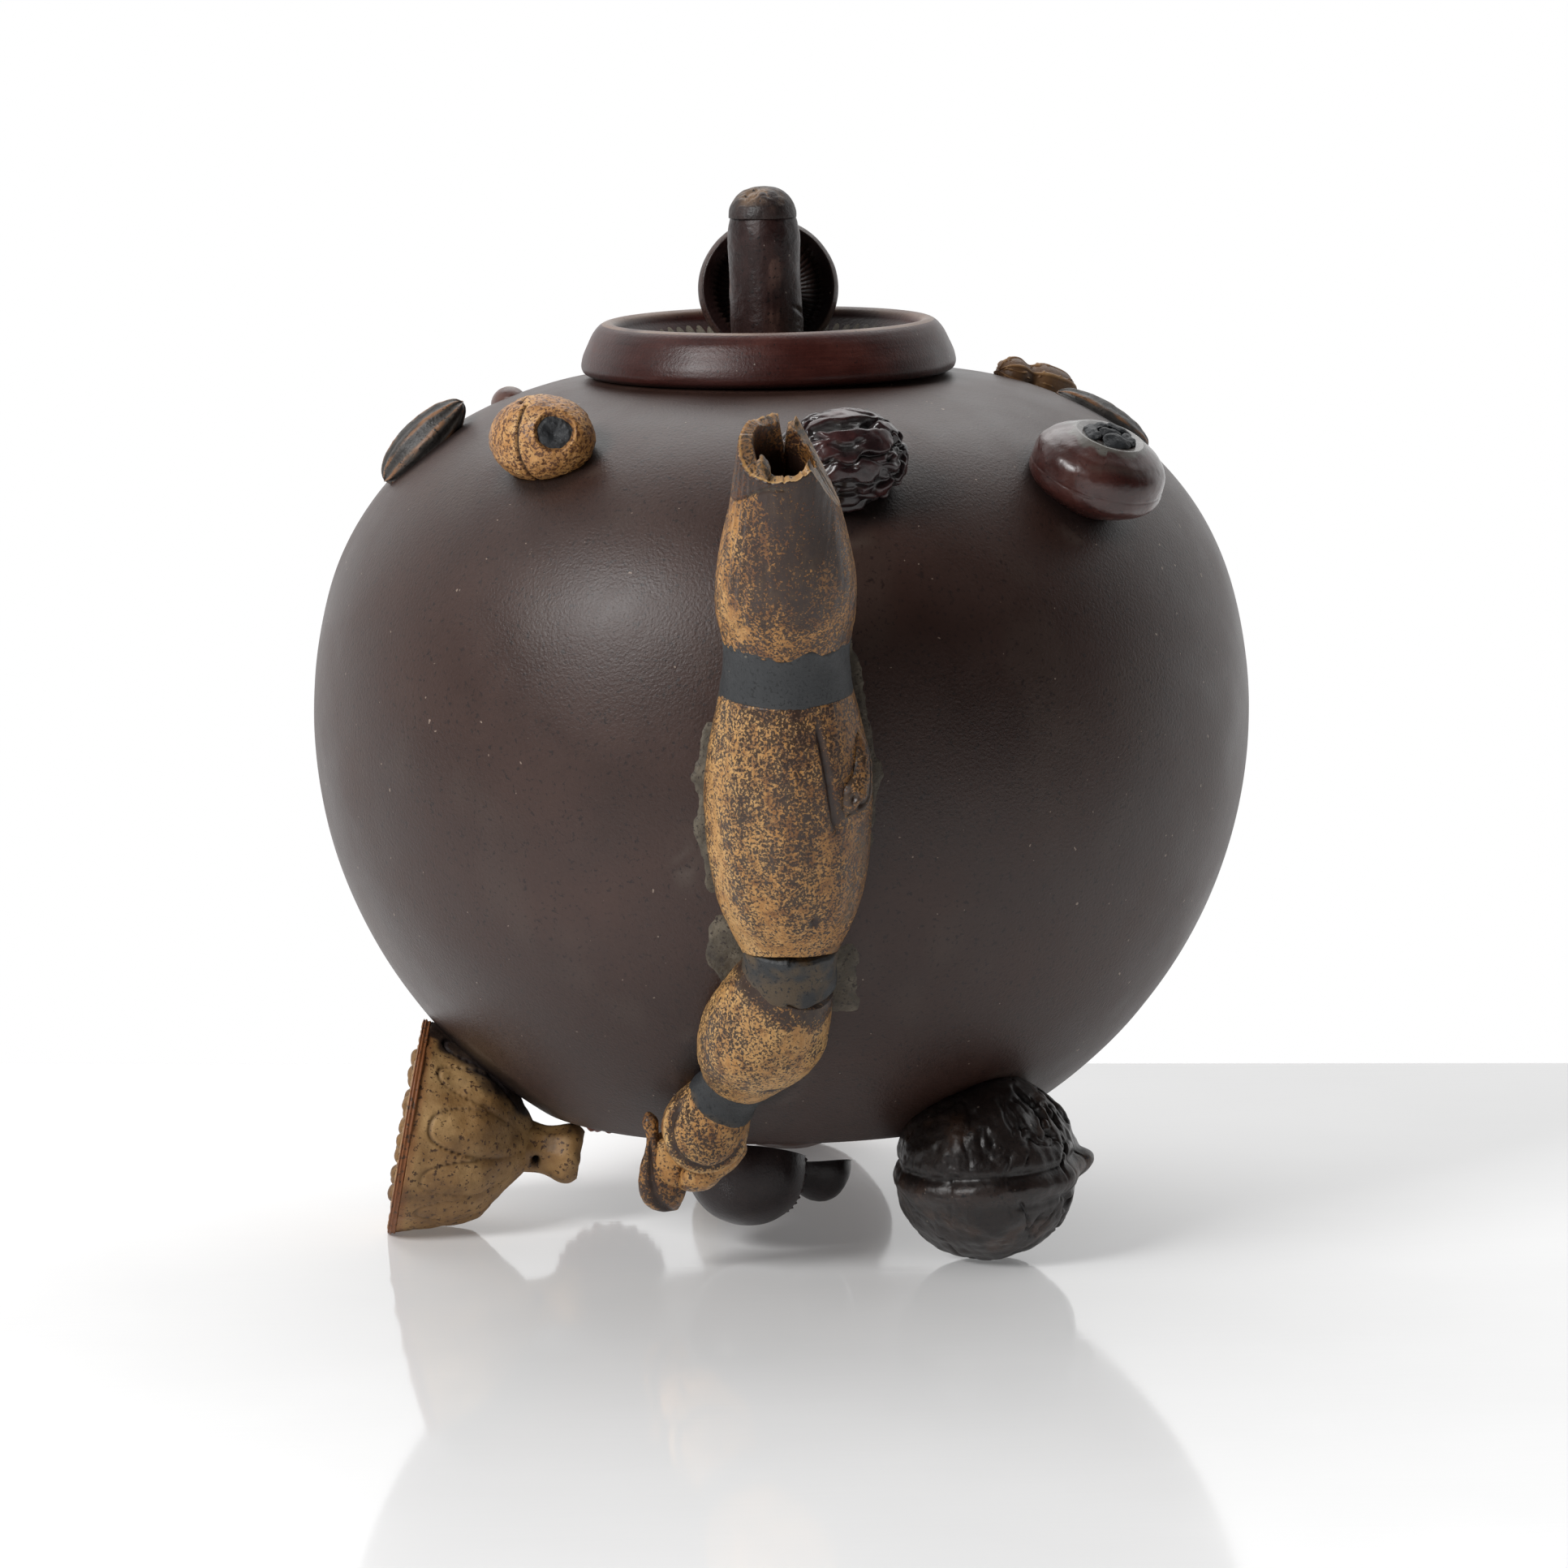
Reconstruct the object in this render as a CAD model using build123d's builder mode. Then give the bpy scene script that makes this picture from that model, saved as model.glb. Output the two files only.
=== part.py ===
from build123d import *
import os
from math import asin, cos, degrees, radians, sin

os.makedirs("parts", exist_ok=True)

# A small purple-clay teapot in the "hundred fruits" manner.  Millimetres, +Z up.
# The table is Z = 0 and the pot's own axis is the Z axis.
# The spout stands on the -Y side and the handle on the +Y side.

# Driving dimensions of the pot
BODY_R = 55.0            # radius of the round belly
BODY_Z = 59.8            # height of the belly's centre
WALL = 3.2               # thickness of the clay wall
BASE_Z = 13.9            # underside of the pot, held up by its three feet
SHOULDER_FROM = 15.0     # rise of the skin's normal where the shoulder arc starts
SHOULDER_R = 32.9
CROWN_FROM = 58.8        # rise of the skin's normal where the flatter crown starts
CROWN_R = 40.0
SLIP = 0.1               # layer of slip between the belly and each luted piece
JOIN_GAP = 0.05          # gap left round discs that are let into the wall

# Mouth and lid
SEAT_Z = 99.6            # flat ring that the lid rests on
SEAT_R = 20.5
MOUTH_R = 15.5
COLLAR_DEPTH = 3.4
DISC_R = 28.0            # discs that close the belly below and above
LID_X = -0.8             # the mouth was set a little to the left
LID_R = 21.9
LID_RIM_Z = 105.9        # top of the rolled rim
DISH_Z = 100.6           # floor of the dish inside the rim
DISH_R = 17.7
FLANGE_R = 15.0
FLANGE_WALL = 2.2
FLANGE_DEPTH = 7.0
VENT_R = 1.1
KNOB_R = 4.1
KNOB_TOP_Z = 121.4
KNOB_X = LID_X - 0.4
KNOB_CAP_R = 8.3
KNOB_CAP_Z = 109.1
KNOB_CAP_TILT = 10.0     # the small cap's gills look a little upward

# Spout, a lotus root in four segments tied by dark bands
MOUTH_END = (0.7, -73.3, 100.4)
TOP_BAND = ((0.7, -63.1, 75.0), (0.6, -61.0, 69.8))
MIDDLE_BAND = ((0.5, -54.9, 39.4), (0.3, -53.2, 36.5))
LOWER_BAND = ((-5.8, -43.4, 23.6), (-7.4, -41.4, 21.3))
SPOUT_END = (-12.4, -36.2, 14.6)
SHEATH_TIP = (-13.7, -34.4, 7.7)
BORE_R = 4.2             # channel inside the spout
MOUTH_BORE_R = 4.7
STRAINER_Z = 61.5
STRAINER_HOLE_R = 1.15
STRAINER_PITCH_R = 2.9

# Handle, a curved water caltrop with two horns
HANDLE_REACH = 79.2
HANDLE_TOP = (0.0, 47.5, 83.0)

# Feet
WALNUT_R = 10.9
WALNUT_AT = (22.7, -29.2, 10.75)
CHESTNUT_AT = (0.0, 36.0, 10.45)
CHESTNUT_HALF = (13.0, 10.6)
POD_STEM_END = (-24.6, -8.0, 8.4)
POD_FACE_AT = (-45.0, -8.2, 12.3)
POD_FACE_R = 12.7

# ---------------------------------------------------------------------------
# Shape of the skin: three tangent arcs turned round the Z axis
# ---------------------------------------------------------------------------


def along(start, radius, rise):
    """The point a radius away from start, at a rise in degrees above level."""
    return (start[0] + radius * cos(radians(rise)), start[1] + radius * sin(radians(rise)))


BODY_C = (0.0, BODY_Z)
SHOULDER_C = along(BODY_C, BODY_R - SHOULDER_R, SHOULDER_FROM)
CROWN_C = along(SHOULDER_C, SHOULDER_R - CROWN_R, CROWN_FROM)


def form(inset):
    """The belly as a full solid, its skin moved inward by inset."""
    floor_z = BASE_Z + inset
    ball_r = BODY_R - inset
    lowest = -degrees(asin((BODY_Z - floor_z) / ball_r))
    base_edge = along(BODY_C, ball_r, lowest)
    top = along(CROWN_C, CROWN_R - inset, 90)
    with BuildPart() as solid:
        with BuildSketch(Plane.XZ):
            with BuildLine():
                CenterArc(BODY_C, ball_r, lowest, SHOULDER_FROM - lowest)
                CenterArc(SHOULDER_C, SHOULDER_R - inset, SHOULDER_FROM, CROWN_FROM - SHOULDER_FROM)
                CenterArc(CROWN_C, CROWN_R - inset, CROWN_FROM, 90 - CROWN_FROM)
                Polyline(top, (0, top[1]), (0, floor_z), base_edge)
            make_face()
        revolve(axis=Axis.Z)
    return solid.part


def skin(rise):
    """Radius and height of the skin where its normal rises by rise degrees."""
    if rise <= SHOULDER_FROM:
        return along(BODY_C, BODY_R, rise)
    if rise <= CROWN_FROM:
        return along(SHOULDER_C, SHOULDER_R, rise)
    return along(CROWN_C, CROWN_R, rise)


def seat(azimuth, rise, lift=0.0, turn=0.0):
    """Plane lying on the skin: z outward, x level unless turned, raised by lift."""
    radius, height = skin(rise)
    level, up = radians(azimuth), radians(rise)
    normal = Vector(cos(up) * cos(level), cos(up) * sin(level), sin(up))
    origin = Vector(radius * cos(level), radius * sin(level), height) + normal * lift
    flat = Plane(origin=origin, x_dir=Vector(-sin(level), cos(level), 0), z_dir=normal)
    return flat.rotated((0, 0, turn))


def slipped():
    """The belly under its layer of slip, made afresh for each luted piece that sits on it."""
    return form(-SLIP)

# ---------------------------------------------------------------------------
# Shapes that repeat
# ---------------------------------------------------------------------------


def turned(start, end, radii, stops=None):
    """Barrel turned about the line from start to end, through radii at even stops."""
    foot, tip = Vector(*start), Vector(*end)
    run = (tip - foot).length
    axis = (tip - foot).normalized()
    side = axis.cross(Vector(1, 0, 0)).normalized()
    if stops is None:
        stops = [i / (len(radii) - 1) for i in range(len(radii))]
    points = [(r, s * run) for r, s in zip(radii, stops)]
    with BuildPart() as barrel:
        with BuildSketch(Plane(origin=foot, x_dir=side, z_dir=side.cross(axis))):
            with BuildLine():
                if len(points) > 2:
                    Spline(*points)
                else:
                    Line(*points)
                Polyline(points[-1], (0, run), (0, 0), points[0])
            make_face()
        revolve(axis=Axis(foot, axis))
    return barrel.part


def spheroid(half_length, half_width):
    """Seed shape: a half ellipse turned about X, its seam on the hidden -Z side."""
    with BuildPart() as seed:
        with BuildSketch(Plane.XZ):
            Ellipse(half_length, half_width)
            with Locations((0, half_width)):
                Rectangle(2.2 * half_length, 2 * half_width, mode=Mode.SUBTRACT)
        revolve(axis=Axis.X)
    return seed.part


def ball(radius):
    """A plain round fruit."""
    with BuildPart() as fruit:
        Sphere(radius)
    return fruit.part


def horn(sections):
    """Tapering curved horn through circles given as (centre, direction, radius)."""
    with BuildPart() as curved:
        for centre, direction, radius in sections:
            with BuildSketch(Plane(origin=centre, x_dir=(1, 0, 0), z_dir=direction)):
                Circle(radius)
        loft()
    return curved.part


def between(start, end, share):
    """Point a share of the way from start to end."""
    return tuple(a + (b - a) * share for a, b in zip(start, end))


# ---------------------------------------------------------------------------
# Pot body: paddled belly closed by a disc below and a disc above
# ---------------------------------------------------------------------------

with BuildPart() as body_shell:
    add(form(0))
    add(form(WALL), mode=Mode.SUBTRACT)
    with BuildSketch(Plane.XY):
        Circle(DISC_R)
    extrude(amount=BASE_Z + WALL + 1, mode=Mode.SUBTRACT)
    with BuildSketch(Plane.XY.offset(BODY_Z)):
        Circle(DISC_R)
    extrude(amount=BODY_R, mode=Mode.SUBTRACT)
    with BuildSketch(Plane.XZ.offset(BODY_R - 2 * WALL)):
        with Locations((MOUTH_END[0], STRAINER_Z)):
            Circle(STRAINER_HOLE_R)
            with PolarLocations(STRAINER_PITCH_R, 6):
                Circle(STRAINER_HOLE_R)
    extrude(amount=3 * WALL, mode=Mode.SUBTRACT)

with BuildPart() as base_disc:
    with BuildSketch(Plane.XY.offset(BASE_Z)):
        Circle(DISC_R - JOIN_GAP)
    extrude(amount=WALL)
    fillet(base_disc.edges().group_by(Axis.Z)[-1], 0.6)

with BuildPart() as shoulder_disc:
    with BuildSketch(Plane.XY.offset(BODY_Z)):
        Circle(DISC_R - JOIN_GAP)
        with Locations((LID_X, 0)):
            Circle(SEAT_R, mode=Mode.SUBTRACT)
    extrude(amount=BODY_R)
    add(form(0), mode=Mode.INTERSECT)
    add(form(WALL), mode=Mode.SUBTRACT)

with BuildPart() as mouth_collar:
    with BuildSketch(Plane.XY.offset(SEAT_Z - COLLAR_DEPTH)):
        with Locations((LID_X, 0)):
            Circle(SEAT_R - JOIN_GAP)
            Circle(MOUTH_R, mode=Mode.SUBTRACT)
    extrude(amount=COLLAR_DEPTH)
    chamfer(mouth_collar.edges().filter_by(GeomType.CIRCLE).sort_by(SortBy.RADIUS)[:2], 0.3)

# ---------------------------------------------------------------------------
# Spout
# ---------------------------------------------------------------------------

SPOUT_BORE = turned(TOP_BAND[0], between(TOP_BAND[0], MOUTH_END, 1.3), [BORE_R, MOUTH_BORE_R])
BAND_BORE = turned(between(TOP_BAND[1], TOP_BAND[0], -0.5), between(TOP_BAND[1], TOP_BAND[0], 1.5),
                   [BORE_R + 0.3, BORE_R + 0.3])
CHAMBER_END = between(TOP_BAND[1], MIDDLE_BAND[0], 0.36)
TORN_PLANE = Plane(origin=(0.7, -72.3, 98.0), x_dir=(1, 0, 0), z_dir=(0.30, -0.52, 0.80))

with BuildPart() as spout_tip:
    add(turned(TOP_BAND[0], between(TOP_BAND[0], MOUTH_END, 1.12),
               [6.9, 7.65, 7.3, 5.95, 5.1], [0, 0.22, 0.45, 0.78, 1]))
    add(SPOUT_BORE, mode=Mode.SUBTRACT)
    split(bisect_by=TORN_PLANE, keep=Keep.BOTTOM)

with BuildPart() as spout_middle:
    add(turned(TOP_BAND[1], MIDDLE_BAND[0], [7.3, 8.9, 9.2, 7.9, 5.4], [0, 0.2, 0.42, 0.75, 1]))
    add(turned(between(TOP_BAND[1], CHAMBER_END, -0.2), CHAMBER_END, [BORE_R, BORE_R]),
        mode=Mode.SUBTRACT)
    with BuildSketch(Plane.XZ.offset(BODY_R - 2 * WALL)):
        with Locations((MOUTH_END[0], STRAINER_Z)):
            Circle(BORE_R)
    extrude(amount=4 * WALL, mode=Mode.SUBTRACT)
    add(slipped(), mode=Mode.SUBTRACT)

with BuildPart() as spout_lower:
    add(turned(MIDDLE_BAND[1], LOWER_BAND[0], [5.3, 6.8, 6.8, 4.0], [0, 0.33, 0.66, 1]))
    add(slipped(), mode=Mode.SUBTRACT)

with BuildPart() as spout_end:
    add(turned(LOWER_BAND[1], SPOUT_END, [3.8, 4.8, 4.4]))
    add(slipped(), mode=Mode.SUBTRACT)

with BuildPart() as spout_sheath:
    add(turned(between(SPOUT_END, SHEATH_TIP, -0.06), SHEATH_TIP, [4.3, 2.7, 0.7]))
    add(slipped(), mode=Mode.SUBTRACT)
    add(spout_end.part, mode=Mode.SUBTRACT)


def band(ends, radii, above, below, bore=None):
    """Dark tie between two segments: longer than its gap, then cut to both of them."""
    with BuildPart() as tie:
        add(turned(between(ends[1], ends[0], -0.2), between(ends[1], ends[0], 1.2), radii))
        if bore:
            add(bore, mode=Mode.SUBTRACT)
        add(slipped(), mode=Mode.SUBTRACT)
        add(above, mode=Mode.SUBTRACT)
        add(below, mode=Mode.SUBTRACT)
    return tie.part


with BuildPart() as spout_band_top:
    add(band(TOP_BAND, [7.2, 6.75, 6.9], spout_tip.part, spout_middle.part, BAND_BORE))

with BuildPart() as spout_band_middle:
    add(band(MIDDLE_BAND, [5.2, 5.0, 5.3], spout_middle.part, spout_lower.part))

with BuildPart() as spout_band_lower:
    add(band(LOWER_BAND, [3.7, 3.5, 3.9], spout_lower.part, spout_end.part))

BUD_FROM = (8.9, -62.2, 66.5)
BUD_TO = (8.2, -64.6, 56.8)
with BuildPart() as spout_side_bud:
    add(turned(BUD_FROM, BUD_TO, [0.9, 2.3, 2.4]))
    add(turned(TOP_BAND[1], MIDDLE_BAND[0],
               [7.3 + SLIP, 8.9 + SLIP, 9.2 + SLIP, 7.9 + SLIP, 5.4 + SLIP], [0, 0.2, 0.42, 0.75, 1]),
        mode=Mode.SUBTRACT)
    add(slipped(), mode=Mode.SUBTRACT)

# ---------------------------------------------------------------------------
# Handle
# ---------------------------------------------------------------------------

BELLY_R = 5.3             # the caltrop's thick middle
BELLY_ENDS = ((0, 73.4, 79.2), (0, 71.9, 53.2))
HORN_R = 4.2             # where a horn leaves the middle
HANDLE_UPPER = [
    (HANDLE_TOP, (0, 0.80, 0.60), 5.8),
    ((0, 57.0, 88.2), (0, 0.98, 0.20), 4.2),
    ((0, 67.0, 86.6), (0, 0.85, -0.53), 3.9),
    (BELLY_ENDS[0], (0, 0.50, -0.87), HORN_R),
]
HANDLE_MIDDLE = [
    ((0, BELLY_ENDS[0][1], BELLY_ENDS[0][2] - JOIN_GAP), (0, 0.50, -0.87), HORN_R),
    ((0, HANDLE_REACH - BELLY_R, 66.5), (0, 0.08, -1), BELLY_R),
    (BELLY_ENDS[1], (0, -0.42, -0.91), HORN_R),
]
HANDLE_LOWER = [
    ((0, BELLY_ENDS[1][1], BELLY_ENDS[1][2] - JOIN_GAP), (0, -0.42, -0.91), HORN_R),
    ((0, 65.2, 43.4), (0, -0.74, -0.67), 4.0),
    ((0, 56.6, 38.4), (0, -0.93, -0.36), 4.3),
    ((0, 48.0, 37.0), (0, -1, -0.1), 5.4),
]

with BuildPart() as handle_upper_horn:
    add(horn(HANDLE_UPPER))
    add(slipped(), mode=Mode.SUBTRACT)

with BuildPart() as handle_belly:
    add(horn(HANDLE_MIDDLE))

with BuildPart() as handle_lower_horn:
    add(horn(HANDLE_LOWER))
    add(slipped(), mode=Mode.SUBTRACT)

# ---------------------------------------------------------------------------
# Feet and the ornaments under the belly
# ---------------------------------------------------------------------------

with BuildPart() as table:
    with BuildSketch(Plane.XY):
        Rectangle(300, 300)
    extrude(amount=-50)
TABLE = table.part

with BuildPart() as walnut_foot:
    with Locations(WALNUT_AT):
        Sphere(WALNUT_R)
    add(slipped(), mode=Mode.SUBTRACT)
    add(TABLE, mode=Mode.SUBTRACT)

SEAM_PLANE = Plane(origin=WALNUT_AT, x_dir=(1, 0, 0), z_dir=(-0.06, -0.05, 1))
with BuildPart() as walnut_seam:
    with Locations(SEAM_PLANE.location):
        Torus(WALNUT_R, 1.0)
        with Locations((WALNUT_R + 0.2, 0, 0.3)):
            Sphere(1.6)
        Sphere(WALNUT_R + JOIN_GAP, mode=Mode.SUBTRACT)
    add(slipped(), mode=Mode.SUBTRACT)

with BuildPart() as chestnut_foot:
    with Locations(Location(CHESTNUT_AT, (180, 0, 0))):
        add(spheroid(*CHESTNUT_HALF))
    add(slipped(), mode=Mode.SUBTRACT)
    add(TABLE, mode=Mode.SUBTRACT)

POD_CONE_FROM = between(POD_STEM_END, POD_FACE_AT, 0.3)
POD_CONE_TO = between(POD_STEM_END, POD_FACE_AT, 0.94)
POD_OUT = (Vector(*POD_FACE_AT) - Vector(*POD_STEM_END)).normalized()
with BuildPart() as pod_cone:
    add(turned(POD_CONE_FROM, POD_CONE_TO, [3.6, 9.2, 11.6, POD_FACE_R], [0, 0.34, 0.64, 1]))
    add(slipped(), mode=Mode.SUBTRACT)
    add(TABLE, mode=Mode.SUBTRACT)

POD_DISC_FROM = between(POD_STEM_END, POD_FACE_AT, 0.942)
with BuildPart() as pod_disc:
    add(turned(POD_DISC_FROM, POD_FACE_AT, [POD_FACE_R, POD_FACE_R - 0.2]))
    add(slipped(), mode=Mode.SUBTRACT)
    add(TABLE, mode=Mode.SUBTRACT)

POD_FACE = Plane(origin=Vector(*POD_FACE_AT) + POD_OUT * JOIN_GAP, x_dir=(0, 1, 0), z_dir=POD_OUT)
SEED_R = 1.15
with BuildPart() as pod_seeds:
    for ring_r, count in ((3.6, 5), (8.0, 11)):
        with BuildSketch(POD_FACE):
            with PolarLocations(ring_r, count):
                Circle(SEED_R)
        extrude(amount=0.7, taper=25)
    with BuildSketch(POD_FACE):
        Circle(SEED_R)
    extrude(amount=0.7, taper=25)

with BuildPart() as pod_stem:
    add(turned(POD_STEM_END, between(POD_STEM_END, POD_FACE_AT, 0.298), [3.3, 2.6, 3.4]))
    with Locations(Plane(origin=between(POD_STEM_END, POD_FACE_AT, 0.2), z_dir=(0, -1, 0)).location):
        Hole(0.6, depth=8)
    add(slipped(), mode=Mode.SUBTRACT)

MUSHROOM_AT = (-4.8, -20.0, 9.6)
MUSHROOM_R = 7.3
MUSHROOM_OUT = Vector(0.80, 0.55, -0.12).normalized()
MUSHROOM_EDGE = Vector(*MUSHROOM_AT) + MUSHROOM_OUT * 4.0
with BuildPart() as mushroom_cap:
    with Locations(MUSHROOM_AT):
        Sphere(MUSHROOM_R)
    split(bisect_by=Plane(origin=MUSHROOM_EDGE, z_dir=MUSHROOM_OUT), keep=Keep.BOTTOM)
    add(slipped(), mode=Mode.SUBTRACT)

with BuildPart() as mushroom_stem:
    add(turned(tuple(MUSHROOM_EDGE + MUSHROOM_OUT * SLIP), tuple(MUSHROOM_EDGE + MUSHROOM_OUT * 8.5),
               [2.9, 2.8, 3.3]))
    add(slipped(), mode=Mode.SUBTRACT)

with BuildPart() as lychee:
    with Locations((-22.0, 18.0, 12.6)):
        Sphere(7.0)
    add(slipped(), mode=Mode.SUBTRACT)

# ---------------------------------------------------------------------------
# Fruits and seeds on the shoulder
# ---------------------------------------------------------------------------


def seated(shape, place):
    """A fruit set down on the skin at a plane, its hidden part cut away."""
    with BuildPart() as fruit:
        with Locations(place.location):
            add(shape)
        add(slipped(), mode=Mode.SUBTRACT)
    return fruit.part


LOTUS_SEED_SEAT = seat(-130.6, 57.4, 2.6, 6)
TIP_CUT = 4.4            # where the dark end of the lotus seed starts
with BuildPart() as lotus_seed:
    add(seated(spheroid(6.6, 5.0), LOTUS_SEED_SEAT))
    with Locations(LOTUS_SEED_SEAT.location):
        with Locations((TIP_CUT + 5, 0, 0)):
            Box(10, 20, 20, mode=Mode.SUBTRACT)

with BuildPart() as lotus_seed_tip:
    add(seated(spheroid(6.6, 5.0), LOTUS_SEED_SEAT))
    with Locations(LOTUS_SEED_SEAT.location):
        with Locations((TIP_CUT + JOIN_GAP - 15, 0, 0)):
            Box(30, 20, 20, mode=Mode.SUBTRACT)
        with Locations((6.9, 0, 0.6)):
            Sphere(1.5, mode=Mode.SUBTRACT)

JUJUBE_SEAT = seat(-81.1, 50.9, 3.4, 4)
with BuildPart() as jujube:
    add(seated(spheroid(8.0, 5.9), JUJUBE_SEAT))
    with Locations(JUJUBE_SEAT.location):
        with Locations((8.6, 0, 0)):
            Sphere(1.7, mode=Mode.SUBTRACT)

with BuildPart() as jujube_stem_scar:
    with Locations(JUJUBE_SEAT.location):
        with Locations((8.1, 0, 0)):
            Sphere(0.85)

CHESTNUT_SEAT = seat(-40.1, 44.5, 3.4)
WATER_CHESTNUT_AXIS = Vector(0.30, -0.26, 0.92).normalized()
WATER_CHESTNUT_AT = CHESTNUT_SEAT.origin
CORM_TOP = 4.2
with BuildPart() as water_chestnut:
    add(turned(tuple(WATER_CHESTNUT_AT - WATER_CHESTNUT_AXIS * 5.0),
               tuple(WATER_CHESTNUT_AT + WATER_CHESTNUT_AXIS * CORM_TOP),
               [3.2, 7.2, 7.8, 7.0, 3.6], [0, 0.25, 0.5, 0.78, 1]))
    add(slipped(), mode=Mode.SUBTRACT)

with BuildPart() as water_chestnut_sprout:
    add(turned(tuple(WATER_CHESTNUT_AT + WATER_CHESTNUT_AXIS * (CORM_TOP + JOIN_GAP)),
               tuple(WATER_CHESTNUT_AT + WATER_CHESTNUT_AXIS * (CORM_TOP + 0.9)), [3.3, 2.9, 1.4]))

with BuildPart() as sunflower_seed:
    add(seated(spheroid(6.2, 3.0), seat(-173.5, 53.5, 0.8, 84)))

with BuildPart() as red_bean:
    add(seated(spheroid(3.0, 2.1), seat(167.0, 68.0, -0.9, 30)))

PEANUT_SEAT = seat(18.0, 68.5, 0.0, -76)
with BuildPart() as peanut:
    for offset, radius in ((-3.4, 2.4), (0.4, 2.9), (3.0, 2.5)):
        with Locations(PEANUT_SEAT.location):
            with Locations((offset, 0, 0)):
                Sphere(radius)
    with Locations(PEANUT_SEAT.location):
        with Locations(Location((0, 0, 0), (0, 90, 0))):
            Cylinder(2.1, 6.0)
    add(slipped(), mode=Mode.SUBTRACT)

with BuildPart() as striped_seed:
    add(seated(spheroid(6.4, 2.3), seat(6.0, 58.0, -0.5, 92)))

# The far side carries a few more, like those on the side that is known
with BuildPart() as ginkgo_nut:
    add(seated(spheroid(6.2, 4.4), seat(122.0, 45.0, 2.0, 115)))

with BuildPart() as hazelnut:
    add(seated(ball(5.6), seat(64.0, 42.0, 2.6)))

with BuildPart() as melon_seeds:
    for azimuth, turn in ((88.0, 20), (97.0, 75), (105.0, 140)):
        add(seated(spheroid(4.2, 1.7), seat(azimuth, 60.0, 0.3, turn)))

# ---------------------------------------------------------------------------
# Lid: a mushroom turned upside down, with its stem as the knob
# ---------------------------------------------------------------------------

LID_AXIS = Axis((LID_X, 0, 0), (0, 0, 1))
LID_PLANE = Plane(origin=(LID_X, 0, 0), x_dir=(1, 0, 0), z_dir=(0, -1, 0))
GILL_T = 0.5
GILL_R = 11.0
PLATE_Z = 98.2           # underside of the lid's middle, let down into the flange
PLATE_R = FLANGE_R - FLANGE_WALL - JOIN_GAP
VENT_AT = 7.2
with BuildPart() as lid_cap:
    with BuildSketch(LID_PLANE):
        with BuildLine():
            Polyline((GILL_R, DISH_Z - GILL_T), (0, DISH_Z - GILL_T), (0, PLATE_Z), (PLATE_R, PLATE_Z),
                     (PLATE_R, SEAT_Z), (SEAT_R + 0.3, SEAT_Z))
            Spline((SEAT_R + 0.3, SEAT_Z), (LID_R, 100.6), (LID_R - 0.5, 102.6), (20.4, 104.6),
                   (18.9, LID_RIM_Z - 0.1), (DISH_R, 104.9), tangents=[(1, 0.25), (-0.25, -1)])
            Spline((DISH_R, 104.9), (15.2, 102.0), (GILL_R, DISH_Z - GILL_T),
                   tangents=[(-0.25, -1), (-1, -0.05)])
        make_face()
    revolve(axis=LID_AXIS)
    with BuildSketch(Plane.XY.offset(PLATE_Z - 1)):
        with Locations((LID_X + VENT_AT, VENT_AT)):
            Circle(VENT_R)
    extrude(amount=10, mode=Mode.SUBTRACT)

with BuildPart() as lid_flange:
    with BuildSketch(Plane.XY.offset(SEAT_Z - FLANGE_DEPTH)):
        with Locations((LID_X, 0)):
            Circle(FLANGE_R)
            Circle(FLANGE_R - FLANGE_WALL, mode=Mode.SUBTRACT)
    extrude(amount=FLANGE_DEPTH)
    chamfer(lid_flange.edges().group_by(Axis.Z)[0], 0.4)

GILL_COUNT = 24
with BuildPart() as lid_gills:
    with BuildSketch(Plane.XY.offset(DISH_Z - GILL_T + JOIN_GAP)):
        with Locations((LID_X, 0)):
            Circle(GILL_R - 0.2)
            Circle(KNOB_R + 0.6, mode=Mode.SUBTRACT)
            with PolarLocations(8.2, GILL_COUNT):
                Rectangle(3.6, 0.5, mode=Mode.SUBTRACT)
            with Locations((VENT_AT, VENT_AT)):
                Circle(VENT_R, mode=Mode.SUBTRACT)
    extrude(amount=GILL_T - JOIN_GAP)

KNOB_FOOT = (LID_X, 0.0, DISH_Z - GILL_T)
KNOB_END_Z = KNOB_TOP_Z - 2.6
with BuildPart() as knob_stem:
    add(turned(KNOB_FOOT, (KNOB_X, 0.0, KNOB_END_Z), [4.3, 4.15, KNOB_R, 3.9], [0, 0.3, 0.7, 1]))
    add(lid_cap.part, mode=Mode.SUBTRACT)

with BuildPart() as knob_root_end:
    add(turned((KNOB_X, 0.0, KNOB_END_Z), (KNOB_X, 0.0, KNOB_TOP_Z), [3.9, 3.2, 1.2], [0, 0.55, 1]))
    add(knob_stem.part, mode=Mode.SUBTRACT)

KNOB_CAP_X = KNOB_X + 0.5
KNOB_CAP_FACE_Y = 5.6
KNOB_CAP_DEPTH = 7.2


def behind(depth):
    """Point on the small cap's axis, a depth behind its gilled face."""
    tilt = radians(KNOB_CAP_TILT)
    return (KNOB_CAP_X, KNOB_CAP_FACE_Y + depth * cos(tilt), KNOB_CAP_Z - depth * sin(tilt))


with BuildPart() as knob_mushroom_cap:
    add(turned(behind(KNOB_CAP_DEPTH), behind(0), [0.8, 5.2, 7.6, KNOB_CAP_R, 7.8], [0, 0.2, 0.55, 0.86, 1]))
    add(turned(behind(5.0), behind(-0.4), [3.2, 5.6, 6.5]), mode=Mode.SUBTRACT)

with BuildPart() as knob_mushroom_stem:
    add(turned(behind(-3.6), behind(4.9), [2.1, 1.9]))
    add(knob_stem.part, mode=Mode.SUBTRACT)

# ---------------------------------------------------------------------------
# Grey slip left round the spout where it was luted to the belly
# ---------------------------------------------------------------------------

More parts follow.
